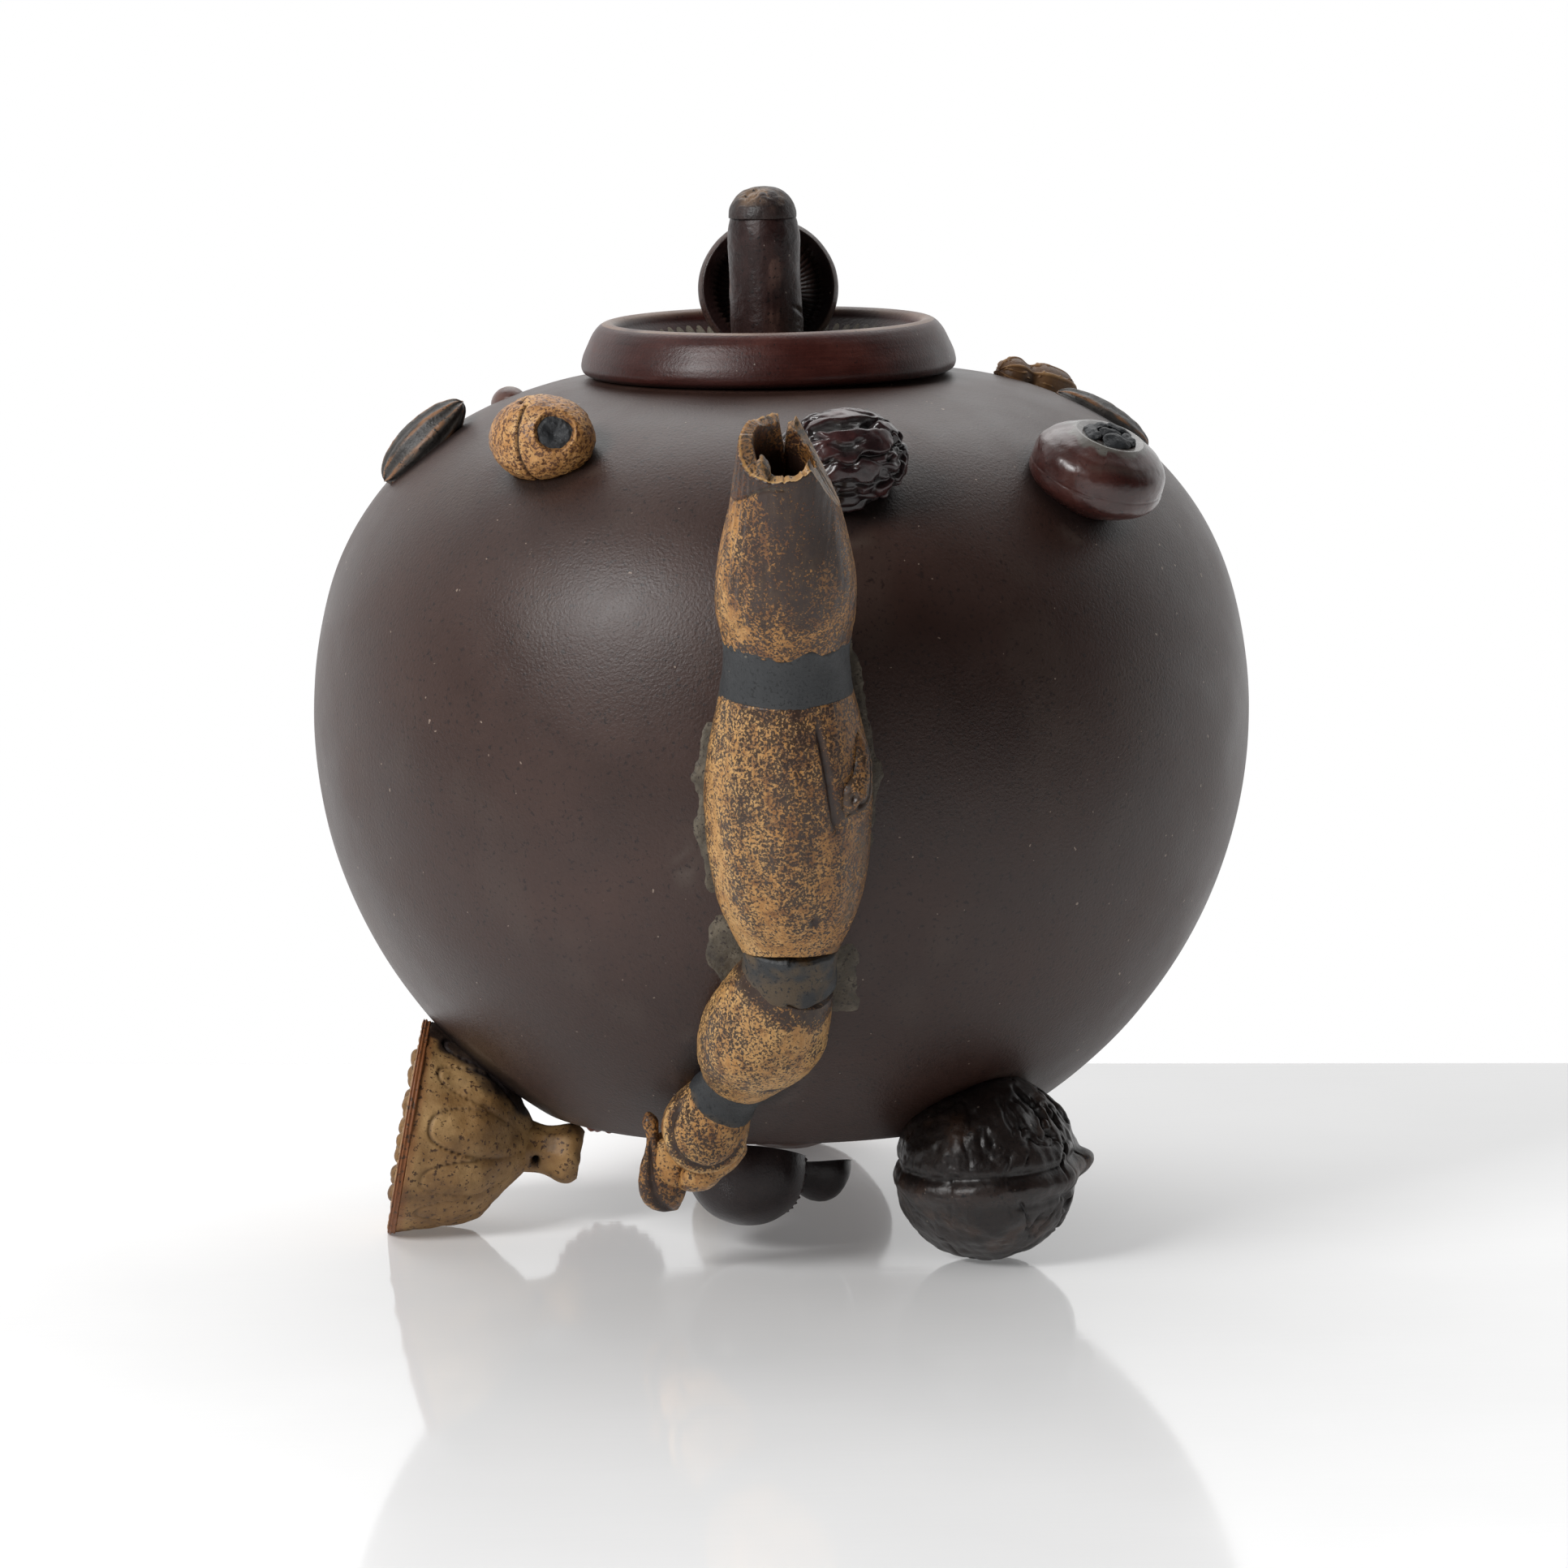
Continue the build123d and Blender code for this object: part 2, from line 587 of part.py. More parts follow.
SMEAR_T = 0.45
with BuildPart() as spout_slip:
    with BuildSketch(Plane.XZ.offset(30)):
        for centre, half_x, half_z in (((0.4, 57.0), 11.6, 14.6), ((0.3, 40.0), 8.2, 7.4)):
            with Locations(centre):
                Ellipse(half_x, half_z)
    extrude(amount=40)
    add(form(-SLIP - SMEAR_T), mode=Mode.INTERSECT)
    add(slipped(), mode=Mode.SUBTRACT)
    add(turned(TOP_BAND[1], MIDDLE_BAND[0], [7.5, 9.1, 9.4, 8.1, 5.6], [0, 0.2, 0.42, 0.75, 1]),
        mode=Mode.SUBTRACT)
    add(turned(between(MIDDLE_BAND[1], MIDDLE_BAND[0], -0.2), between(MIDDLE_BAND[1], MIDDLE_BAND[0], 1.3),
               [5.9, 5.9]), mode=Mode.SUBTRACT)
    add(turned(between(TOP_BAND[1], TOP_BAND[0], -0.6), TOP_BAND[0], [7.7, 7.5]), mode=Mode.SUBTRACT)
    add(turned(between(MIDDLE_BAND[1], LOWER_BAND[0], -0.1), LOWER_BAND[0],
               [5.7, 7.4, 7.4, 4.2], [0, 0.38, 0.69, 1]), mode=Mode.SUBTRACT)

# ---------------------------------------------------------------------------
# Each piece goes out under the name that a potter would give it
# ---------------------------------------------------------------------------

PIECES = {
    "body_shell": body_shell,
    "base_disc": base_disc,
    "shoulder_disc": shoulder_disc,
    "mouth_collar": mouth_collar,
    "spout_tip": spout_tip,
    "spout_band_top": spout_band_top,
    "spout_middle": spout_middle,
    "spout_side_bud": spout_side_bud,
    "spout_band_middle": spout_band_middle,
    "spout_lower": spout_lower,
    "spout_band_lower": spout_band_lower,
    "spout_end": spout_end,
    "spout_sheath": spout_sheath,
    "spout_slip": spout_slip,
    "handle_upper_horn": handle_upper_horn,
    "handle_belly": handle_belly,
    "handle_lower_horn": handle_lower_horn,
    "walnut_foot": walnut_foot,
    "walnut_seam": walnut_seam,
    "chestnut_foot": chestnut_foot,
    "pod_cone": pod_cone,
    "pod_disc": pod_disc,
    "pod_seeds": pod_seeds,
    "pod_stem": pod_stem,
    "mushroom_cap": mushroom_cap,
    "mushroom_stem": mushroom_stem,
    "lychee": lychee,
    "lotus_seed": lotus_seed,
    "lotus_seed_tip": lotus_seed_tip,
    "jujube": jujube,
    "jujube_stem_scar": jujube_stem_scar,
    "water_chestnut": water_chestnut,
    "water_chestnut_sprout": water_chestnut_sprout,
    "sunflower_seed": sunflower_seed,
    "red_bean": red_bean,
    "peanut": peanut,
    "striped_seed": striped_seed,
    "ginkgo_nut": ginkgo_nut,
    "hazelnut": hazelnut,
    "melon_seeds": melon_seeds,
    "lid_cap": lid_cap,
    "lid_flange": lid_flange,
    "lid_gills": lid_gills,
    "knob_stem": knob_stem,
    "knob_root_end": knob_root_end,
    "knob_mushroom_cap": knob_mushroom_cap,
    "knob_mushroom_stem": knob_mushroom_stem,
}

for name, piece in PIECES.items():
    piece.part.label = name
    export_step(piece.part, f"parts/{name}.step")
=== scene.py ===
from math import cos, degrees, pi, radians, sin

import bmesh
import bpy
import numpy as np
from mathutils import Euler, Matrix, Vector


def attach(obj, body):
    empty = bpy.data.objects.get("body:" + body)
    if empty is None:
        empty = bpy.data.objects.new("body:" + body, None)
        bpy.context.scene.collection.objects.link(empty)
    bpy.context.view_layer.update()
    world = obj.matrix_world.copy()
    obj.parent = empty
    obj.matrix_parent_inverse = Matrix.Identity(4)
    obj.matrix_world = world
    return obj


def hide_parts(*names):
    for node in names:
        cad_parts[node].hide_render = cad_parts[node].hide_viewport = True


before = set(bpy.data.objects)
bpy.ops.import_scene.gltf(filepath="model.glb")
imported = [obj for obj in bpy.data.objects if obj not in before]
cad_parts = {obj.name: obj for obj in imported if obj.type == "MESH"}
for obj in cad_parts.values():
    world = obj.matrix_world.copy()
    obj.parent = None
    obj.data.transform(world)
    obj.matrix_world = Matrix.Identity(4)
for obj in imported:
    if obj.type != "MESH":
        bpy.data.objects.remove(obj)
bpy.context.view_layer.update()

# A small purple-clay teapot in the "hundred fruits" manner.
# Shapes are worked out in millimetres in the CAD frame and scaled to metres as they become meshes.
MM = 0.001
FRONT = (0, -1, 0)

# Smooth repeatable noise and curves


def lattice(cell, seed):
    """Repeatable value 0..1 at each whole-number lattice point."""
    x, y, z = cell[..., 0], cell[..., 1], cell[..., 2]
    h = (x * 374761393 + y * 668265263 + z * 1442695041 + seed * 974634777) & 0xFFFFFFFF
    h = ((h ^ (h >> 13)) * 1274126177) & 0xFFFFFFFF
    return ((h ^ (h >> 16)) & 0xFFFF) / 65535.0


def wave(points, size, seed=0):
    """Value noise -1..1 whose bumps are about size across."""
    q = points / np.asarray(size, float) + 100.0
    cell = np.floor(q).astype(np.int64)
    f = q - cell
    f = f * f * f * (f * (f * 6 - 15) + 10)
    total = 0.0
    for corner in range(8):
        off = np.array([corner & 1, corner >> 1 & 1, corner >> 2 & 1])
        weight = np.prod(np.where(off == 1, f, 1 - f), axis=-1)
        total = total + weight * lattice(cell + off, seed)
    return total * 2 - 1


def fbm(points, size, octaves=3, seed=0):
    """Sum of finer and finer waves, about -1..1."""
    total, weight = 0.0, 1.0
    for k in range(octaves):
        total = total + weight * wave(points, np.asarray(size, float) / 2 ** k, seed + 17 * k)
        weight *= 0.5
    return total / 1.5


def ridges(points, size, octaves=3, seed=0):
    """Sharp-crested noise 0..1: 1 along winding lines."""
    total, weight, whole = 0.0, 1.0, 0.0
    for k in range(octaves):
        line = 1 - np.abs(wave(points, np.asarray(size, float) / 2 ** k, seed + 31 * k))
        total = total + weight * line ** 2
        whole += weight
        weight *= 0.55
    return total / whole


def curve(stops, values, at):
    """Natural cubic spline through values at stops."""
    x, y = np.asarray(stops, float), np.asarray(values, float)
    n, h = len(x), np.diff(x)
    rows, rhs = np.eye(n), np.zeros(n)
    for i in range(1, n - 1):
        rows[i, i - 1:i + 2] = h[i - 1], 2 * (h[i - 1] + h[i]), h[i]
        rhs[i] = 3 * ((y[i + 1] - y[i]) / h[i] - (y[i] - y[i - 1]) / h[i - 1])
    c = np.linalg.solve(rows, rhs)
    k = np.clip(np.searchsorted(x, at, side="right") - 1, 0, n - 2)
    t = at - x[k]
    b = (y[k + 1] - y[k]) / h[k] - h[k] * (2 * c[k] + c[k + 1]) / 3
    return y[k] + b * t + c[k] * t ** 2 + (c[k + 1] - c[k]) / (3 * h[k]) * t ** 3


def step(low, high, x):
    """0 below low, 1 above high, smooth between."""
    t = clamp((np.asarray(x, float) - low) / (high - low))
    return t * t * (3 - 2 * t)


def bump(x, centre, width):
    """1 at centre, 0.37 a width away, fading smoothly to 0."""
    return np.exp(-((np.asarray(x, float) - centre) / width) ** 2)


def turn_gap(angle, centre):
    """Signed difference of two angles in degrees."""
    return (angle - centre + 180) % 360 - 180


def unit(v):
    v = np.asarray(v, float)
    return v / np.linalg.norm(v, axis=-1, keepdims=True)


def clamp(x):
    """x kept between 0 and 1."""
    return np.clip(x, 0, 1)


def facing(axis):
    """The direction square to an axis that comes nearest to the front."""
    return unit(np.asarray(FRONT, float) - axis * np.dot(FRONT, axis))


def spokes(axis, a):
    """Directions square to an axis at each angle in degrees; angle 0 faces front."""
    f = facing(axis)
    return np.cos(np.radians(a))[..., None] * f + np.sin(np.radians(a))[..., None] * np.cross(axis, f)


def route(stops, columns, at):
    """Points on a spline; each column holds one coordinate at the stops."""
    return np.stack([curve(stops, column, at) for column in columns], -1)


# The belly's skin: three arcs turned round the pot's axis


def along(start, radius, rise):
    return (start[0] + radius * cos(radians(rise)), start[1] + radius * sin(radians(rise)))


BODY_R, BODY_Z, WALL, BASE_Z = 55.0, 59.8, 3.2, 13.9
SHOULDER_FROM, SHOULDER_R, CROWN_FROM, CROWN_R = 15.0, 32.9, 58.8, 40.0
BODY_C = (0.0, BODY_Z)
SHOULDER_C = along(BODY_C, BODY_R - SHOULDER_R, SHOULDER_FROM)
CROWN_C = along(SHOULDER_C, SHOULDER_R - CROWN_R, CROWN_FROM)
SEAT_Z, SEAT_R, MOUTH_R, COLLAR_DEPTH, LID_X = 99.6, 20.5, 15.5, 3.4, -0.8


def skin_gap(p):
    """Distance of points outside the skin (negative inside), and the skin's normal there."""
    r, z = np.hypot(p[..., 0], p[..., 1]), p[..., 2]
    low = np.degrees(np.arctan2(z - BODY_C[1], r - BODY_C[0])) < SHOULDER_FROM
    high = np.degrees(np.arctan2(z - SHOULDER_C[1], r - SHOULDER_C[0])) > CROWN_FROM
    cx = np.where(low, BODY_C[0], np.where(high, CROWN_C[0], SHOULDER_C[0]))
    cz = np.where(low, BODY_C[1], np.where(high, CROWN_C[1], SHOULDER_C[1]))
    radius = np.where(low, BODY_R, np.where(high, CROWN_R, SHOULDER_R))
    dr, dz = r - cx, z - cz
    far = np.maximum(np.hypot(dr, dz), 1e-6)
    safe = np.maximum(r, 1e-6)
    normal = np.stack([dr / far * p[..., 0] / safe, dr / far * p[..., 1] / safe, dz / far], -1)
    return far - radius, normal


def bury(p, depth=1.2):
    """Lifts points that lie deeper than depth under the skin up to that depth."""
    gap, normal = skin_gap(p)
    return p + normal * np.maximum(0, -depth - gap)[..., None]


def skin(rise):
    if rise <= SHOULDER_FROM:
        return along(BODY_C, BODY_R, rise)
    if rise <= CROWN_FROM:
        return along(SHOULDER_C, SHOULDER_R, rise)
    return along(CROWN_C, CROWN_R, rise)


def seat(azimuth, rise, lift=0.0, turn=0.0):
    """Origin and axes of a plane on the skin: Z outward, X level unless turned."""
    radius, height = skin(rise)
    level, up, t = radians(azimuth), radians(rise), radians(turn)
    z = np.array([cos(up) * cos(level), cos(up) * sin(level), sin(up)])
    x = np.array([-sin(level), cos(level), 0.0])
    y = np.cross(z, x)
    origin = np.array([radius * cos(level), radius * sin(level), height]) + z * lift
    x2 = x * cos(t) + y * sin(t)
    return origin, x2, np.cross(z, x2), z


def plane(origin, x, z):
    z = unit(z)
    x = unit(np.asarray(x, float) - z * np.dot(x, z))
    return np.asarray(origin, float), x, np.cross(z, x), z


def set_down(local, place):
    """Local points to the CAD frame."""
    origin, x, y, z = place
    return origin + local[..., :1] * x + local[..., 1:2] * y + local[..., 2:] * z

# Grids of rings, and pieces made from them


def ellipsoid(a, b, c, n=72, m=128):
    """Rings round a long X axis; angle 0 of each ring is +Z.  Returns points, cosine along X and angle."""
    phi = np.linspace(0, pi, n + 2)[1:-1][:, None]
    theta = np.linspace(0, 2 * pi, m, endpoint=False)[None, :]
    p = np.stack([a * np.cos(phi) + 0 * theta, b * np.sin(phi) * np.sin(theta),
                  c * np.sin(phi) * np.cos(theta)], -1)
    return p, np.cos(phi) + 0 * theta, np.degrees(theta) + 0 * phi


def tube(path, front, radius):
    """Rings round a path; angle 0 faces front.  radius is (rings, around)."""
    path = np.asarray(path, float)
    t = unit(np.gradient(path, axis=0))
    f = np.asarray(front, float)[None, :]
    f = unit(f - t * np.sum(t * f, axis=1, keepdims=True))
    s = np.cross(t, f)
    a = np.linspace(0, 2 * pi, radius.shape[1], endpoint=False)[None, :, None]
    return path[:, None, :] + radius[..., None] * (np.cos(a) * f[:, None, :] + np.sin(a) * s[:, None, :])


def line(start, end, n):
    return np.asarray(start, float) + np.linspace(0, 1, n)[:, None] * (np.asarray(end, float) - start)


def around(m):
    return np.linspace(0, 360, m, endpoint=False)[None, :]


def normals(p):
    """Outward normals of a ring grid."""
    du = np.gradient(p, axis=0)
    dv = np.roll(p, -1, 1) - np.roll(p, 1, 1)
    n = np.cross(du, dv)
    n = n / np.maximum(np.linalg.norm(n, axis=-1, keepdims=True), 1e-9)
    out = p - p.mean(1, keepdims=True)
    if np.sum(n * out) < 0:
        n = -n
    return n


def swell(p, lift):
    """Moves the points of a ring grid along its normals."""
    return p + normals(p) * lift[..., None]


# What a piece's vertices carry for its material, and the value where nothing is given
FIELDS = {"tone": 0.5, "dark": 0.0, "extra": 0.0}


def piece(name, grids, nodes, clay_kind, body="pot"):
    """One object from ring grids: each is (points, fields), with True added where its two ends are joined."""
    verts, faces, stores = [], [], {key: [] for key in FIELDS}
    for p, fields, *joined in grids:
        n, m = p.shape[:2]
        base = len(verts)
        values = {key: np.broadcast_to(fields.get(key, usual), (n, m)) for key, usual in FIELDS.items()}
        verts.extend((p * MM).reshape(-1, 3).tolist())
        for key, value in values.items():
            stores[key].extend(value.reshape(-1).tolist())
        for i in range(n if joined else n - 1):
            a, b = base + i * m, base + (i + 1) % n * m
            for j in range(m):
                k = (j + 1) % m
                faces.append((a + j, a + k, b + k, b + j))
        for ring in () if joined else (0, n - 1):
            a, centre = base + ring * m, len(verts)
            verts.append((p[ring].mean(0) * MM).tolist())
            for key, value in values.items():
                stores[key].append(float(value[ring].mean()))
            faces.extend((a + j, a + (j + 1) % m, centre) for j in range(m))
    mesh = bpy.data.meshes.new(name)
    mesh.from_pydata(verts, [], faces)
    for key, store in stores.items():
        layer = mesh.attributes.new(key, "FLOAT", "POINT")
        layer.data.foreach_set("value", store)
    work = bmesh.new()
    work.from_mesh(mesh)
    bmesh.ops.recalc_face_normals(work, faces=work.faces)
    work.to_mesh(mesh)
    work.free()
    mesh.polygons.foreach_set("use_smooth", [True] * len(mesh.polygons))
    slot, material = clay_kind
    mesh.materials.append(material)
    obj = bpy.data.objects.new(name, mesh)
    bpy.context.scene.collection.objects.link(obj)
    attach(obj, body)
    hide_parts(*nodes)
    return obj

# Clay materials, each with the name of its slot


def srgb(r, g, b):
    return (tuple(((c / 255) / 12.92 if c <= 10 else ((c / 255 + 0.055) / 1.055) ** 2.4) for c in (r, g, b))
            + (1.0,))


class Shader:
    """Small helper that wires one material's nodes."""

    def __init__(self, name):
        self.mat = bpy.data.materials.new(name)
        self.mat.use_nodes = True
        self.tree = self.mat.node_tree
        self.tree.nodes.clear()
        self.out = self.node("ShaderNodeOutputMaterial")
        self.bsdf = self.node("ShaderNodeBsdfPrincipled")
        self.link(self.bsdf.outputs[0], self.out.inputs[0])
        self.where = self.node("ShaderNodeTexCoord").outputs["Object"]

    def node(self, kind, **settings):
        made = self.tree.nodes.new(kind)
        for key, value in settings.items():
            setattr(made, key, value)
        return made

    def link(self, a, b):
        self.tree.links.new(a, b)

    def put(self, value, socket):
        if isinstance(value, bpy.types.NodeSocket):
            self.link(value, socket)
        else:
            socket.default_value = value

    def attr(self, name):
        return self.node("ShaderNodeAttribute", attribute_name=name).outputs["Fac"]

    def math(self, how, a, b=0.0, c=0.0, clamp=False):
        made = self.node("ShaderNodeMath", operation=how, use_clamp=clamp)
        for value, socket in zip((a, b, c), made.inputs):
            self.put(value, socket)
        return made.outputs[0]

    def swung(self, value, noise, amount):
        """A value with noise 0..1 added about its middle."""
        return self.math("ADD", value, self.math("MULTIPLY", self.math("SUBTRACT", noise, 0.5), amount))

    def stretched(self, scale):
        made = self.node("ShaderNodeMapping")
        made.inputs["Scale"].default_value = scale
        self.link(self.where, made.inputs["Vector"])
        return made.outputs[0]

    def grain(self, size, detail=2.0, rough=0.55, where=None, distortion=0.0):
        """Noise 0..1 whose features are about size millimetres."""
        made = self.node("ShaderNodeTexNoise")
        self.link(where or self.where, made.inputs["Vector"])
        made.inputs["Scale"].default_value = 1000.0 / size
        made.inputs["Detail"].default_value = detail
        made.inputs["Roughness"].default_value = rough
        made.inputs["Distortion"].default_value = distortion
        return made.outputs["Fac"]

    def ranged(self, value, low, high, to_low=0.0, to_high=1.0):
        made = self.node("ShaderNodeMapRange", clamp=True)
        made.interpolation_type = "SMOOTHSTEP"
        for key, item in (("Value", value), ("From Min", low), ("From Max", high), ("To Min", to_low),
                          ("To Max", to_high)):
            self.put(item, made.inputs[key])
        return made.outputs["Result"]

    def mix(self, factor, a, b):
        made = self.node("ShaderNodeMix", data_type="RGBA")
        self.put(factor, made.inputs[0])
        self.put(a, made.inputs[6])
        self.put(b, made.inputs[7])
        return made.outputs[2]

    def ramp(self, value, colours):
        made = self.node("ShaderNodeValToRGB")
        ramp = made.color_ramp
        while len(ramp.elements) < len(colours):
            ramp.elements.new(0.5)
        for k, (spot, colour) in enumerate(colours):
            ramp.elements[k].position = spot
            ramp.elements[k].color = colour
        self.link(value, made.inputs[0])
        return made.outputs[0]

    def finish(self, colour, rough, heights, coat=0.0, specular=0.5):
        self.put(colour, self.bsdf.inputs["Base Color"])
        self.put(rough, self.bsdf.inputs["Roughness"])
        self.bsdf.inputs["Specular IOR Level"].default_value = specular
        self.bsdf.inputs["Coat Weight"].default_value = coat
        self.bsdf.inputs["Coat Roughness"].default_value = 0.3
        normal = None
        for height, strength, distance in heights:
            made = self.node("ShaderNodeBump")
            made.inputs["Strength"].default_value = strength
            made.inputs["Distance"].default_value = distance * MM
            self.link(height, made.inputs["Height"])
            if normal:
                self.link(normal, made.inputs["Normal"])
            normal = made.outputs[0]
        self.link(normal, self.bsdf.inputs["Normal"])
        return self.mat


def clay(name, deep, mid, pale, speck, speck_share=0.12, speck_size=0.45, mottle=5.0, mottle_amount=0.35,
         rough=(0.42, 0.62), grain=0.3, fleck=(150, 138, 128), fleck_share=0.0, groove=None,
         coat=0.0, extra=None, streak=None, specular=0.5):
    """Fine stoneware: tone picks deep, mid or pale; dark darkens grooves and carries painted shade at joins
    and in holes; extra mixes in a second colour.
    """
    deep, mid, pale, speck, fleck = (srgb(*colour) for colour in (deep, mid, pale, speck, fleck))
    s = Shader(name)
    broad = s.grain(mottle, 3.0, 0.6)
    fine = s.grain(0.5, 3.0, 0.6)
    tone = s.swung(s.attr("tone"), broad, mottle_amount * 2)
    if streak:
        lines = s.grain(streak[1], 2.0, 0.5, where=s.stretched(streak[0]))
        tone = s.swung(tone, lines, streak[2])
    tone = s.swung(tone, fine, 0.25)
    colour = s.ramp(tone, [(0.08, deep), (0.5, mid), (0.92, pale)])
    if extra:
        colour = s.mix(s.attr("extra"), colour, srgb(*extra))
    spot = s.grain(speck_size, 3.0, 0.65)
    edge = 0.5 + 0.22 * (1 - 2 * min(speck_share, 0.95))
    colour = s.mix(s.ranged(spot, edge, edge + 0.06), colour, speck)
    if fleck_share:
        glint = s.grain(0.75, 1.0, 0.4)
        colour = s.mix(s.ranged(glint, 0.80 - fleck_share, 0.83 - fleck_share, 0.0, 0.8), colour, fleck)
    shade = srgb(*groove) if groove else tuple(c * 0.35 for c in deep[:3]) + (1.0,)
    colour = s.mix(s.math("MULTIPLY", s.attr("dark"), 1.0, clamp=True), colour, shade)
    gloss = s.ranged(broad, 0.3, 0.7, rough[0], rough[1])
    return name, s.finish(colour, gloss, [(s.grain(0.35, 3.0, 0.6), grain, 0.10), (broad, 0.25, 0.25)],
                    coat=coat, specular=specular)


def root(name, deep, gold, pale, wash, stain):
    """Lotus-root clay: dark is the share of dark speckles, raised deep in the spout's bore as painted shade;
    extra fades to grey slip.
    """
    deep, gold, pale, wash, stain = (srgb(*colour) for colour in (deep, gold, pale, wash, stain))
    s = Shader(name)
    broad = s.grain(3.5, 3.0, 0.6)
    lines = s.grain(0.55, 3.0, 0.6, where=s.stretched((1.0, 1.0, 0.16)))
    tone = s.swung(s.attr("tone"), broad, 0.7)
    tone = s.swung(tone, lines, 0.6)
    colour = s.ramp(tone, [(0.1, deep), (0.5, gold), (0.95, pale)])
    haze = s.math("ADD", s.grain(1.4, 4.0, 0.65), s.math("MULTIPLY", s.attr("dark"), 0.28))
    colour = s.mix(s.ranged(haze, 0.56, 0.82, 0.0, 0.85), colour, wash)
    spots = s.grain(0.30, 3.0, 0.6, distortion=0.4)
    spots = s.swung(spots, lines, 0.25)
    spots = s.swung(spots, broad, 0.25)
    mask = s.ranged(s.math("ADD", spots, s.math("MULTIPLY", s.attr("dark"), 0.34)), 0.60, 0.71)
    colour = s.mix(s.math("MULTIPLY", mask, 0.92), colour, stain)
    colour = s.mix(s.attr("extra"), colour, srgb(84, 76, 62))
    rough = s.ranged(spots, 0.35, 0.65, 0.48, 0.34)
    height = s.math("SUBTRACT", 1.0, mask)
    return name, s.finish(colour, rough, [(height, 0.50, 0.10), (lines, 0.35, 0.12),
                                          (s.grain(0.3, 2.0), 0.25, 0.06)],
                    coat=0.10, specular=0.45)


BELLY = clay("belly_clay", (41, 26, 22), (57, 38, 32), (75, 52, 44), (38, 25, 22), speck_share=0.30,
             speck_size=0.55, mottle=14.0, mottle_amount=0.30, rough=(0.37, 0.46), grain=0.60, specular=0.46,
             fleck=(150, 132, 118), fleck_share=0.020, groove=(18, 12, 12), extra=(92, 82, 74))
ROOT = root("root_clay", (86, 50, 22), (176, 126, 68), (214, 172, 112), (104, 64, 34), (40, 28, 25))
BAND = clay("band_clay", (32, 34, 37), (45, 47, 49), (62, 63, 64), (26, 28, 30), speck_share=0.35,
            mottle=3.0, rough=(0.48, 0.62), grain=0.8, fleck=(110, 104, 92), fleck_share=0.03,
            extra=(92, 74, 50))
SLIP_CLAY = clay("slip_clay", (58, 51, 44), (86, 78, 66), (116, 107, 92), (56, 47, 42), speck_share=0.35,
                 mottle=1.6, mottle_amount=0.6, rough=(0.6, 0.75), grain=0.9)
CALTROP = clay("caltrop_clay", (44, 32, 26), (78, 56, 42), (112, 86, 62), (36, 26, 24), speck_share=0.35,
               mottle=4.0, rough=(0.38, 0.55), grain=0.6, coat=0.1)
WALNUT = clay("walnut_clay", (20, 15, 14), (36, 27, 24), (56, 43, 38), (20, 15, 15), speck_share=0.35,
              mottle=4.0, mottle_amount=0.5, rough=(0.30, 0.48), grain=0.5, fleck_share=0.015,
              groove=(10, 8, 8),
              extra=(96, 66, 46), coat=0.15)
CHESTNUT = clay("chestnut_clay", (62, 34, 22), (98, 56, 36), (128, 80, 52), (50, 28, 20),
                mottle=4.0, rough=(0.25, 0.4), grain=0.25, extra=(168, 140, 104), coat=0.2)
POD = clay("pod_clay", (88, 60, 34), (146, 110, 66), (184, 148, 98), (80, 55, 36), speck_share=0.34,
           speck_size=0.6, mottle=3.6, mottle_amount=0.45, rough=(0.5, 0.68), grain=0.6, groove=(32, 21, 19),
           extra=(138, 80, 42))
MUSHROOM = clay("mushroom_clay", (26, 18, 19), (40, 29, 29), (64, 50, 48), (30, 21, 22),
                speck_share=0.3, mottle=6.0, rough=(0.30, 0.42), grain=0.4, fleck_share=0.015)
LYCHEE = clay("lychee_clay", (78, 36, 30), (116, 58, 44), (142, 84, 60), (66, 32, 28),
              mottle=2.0, rough=(0.45, 0.6), grain=0.4)
LOTUS_SEED = clay("lotus_seed_clay", (124, 80, 38), (188, 136, 78), (222, 180, 120), (96, 60, 34),
                  speck_share=0.52, speck_size=0.36, mottle=1.5, mottle_amount=0.5, rough=(0.40, 0.55),
                  grain=0.8,
                  groove=(44, 32, 30), extra=(200, 168, 122))
BLACK = clay("black_clay", (24, 25, 27), (40, 42, 45), (62, 65, 68), (16, 17, 18), speck_share=0.3,
             mottle=1.2, rough=(0.5, 0.65), grain=1.0, fleck=(128, 128, 122), fleck_share=0.05)
JUJUBE = clay("jujube_clay", (22, 15, 16), (42, 24, 25), (72, 38, 37), (24, 16, 18), speck_share=0.25,
              mottle=3.0, mottle_amount=0.5, rough=(0.24, 0.36), grain=0.3, groove=(14, 8, 9), coat=0.30,
              fleck_share=0.01, extra=(66, 68, 66))
WATER = clay("water_chestnut_clay", (34, 17, 15), (60, 30, 26), (84, 50, 43), (27, 14, 14),
             speck_share=0.2, mottle=5.0, rough=(0.20, 0.32), grain=0.25, groove=(34, 18, 16), coat=0.4,
             extra=(96, 94, 88), streak=((0.4, 0.4, 3.0), 1.2, 0.35))
SEED = clay("seed_clay", (44, 40, 38), (74, 70, 66), (108, 100, 90), (36, 32, 30), speck_share=0.3,
            speck_size=0.35, mottle=1.5, rough=(0.42, 0.55), grain=0.7, extra=(150, 104, 66),
            groove=(22, 20, 20))
BEAN = clay("red_bean_clay", (58, 34, 32), (92, 62, 54), (116, 86, 74), (50, 32, 30),
            mottle=2.0, rough=(0.3, 0.42), grain=0.3, extra=(200, 190, 170))
PEANUT = clay("peanut_clay", (92, 62, 36), (142, 102, 62), (176, 138, 92), (84, 54, 34),
              mottle=1.8, rough=(0.5, 0.62), grain=0.5, groove=(58, 38, 26))
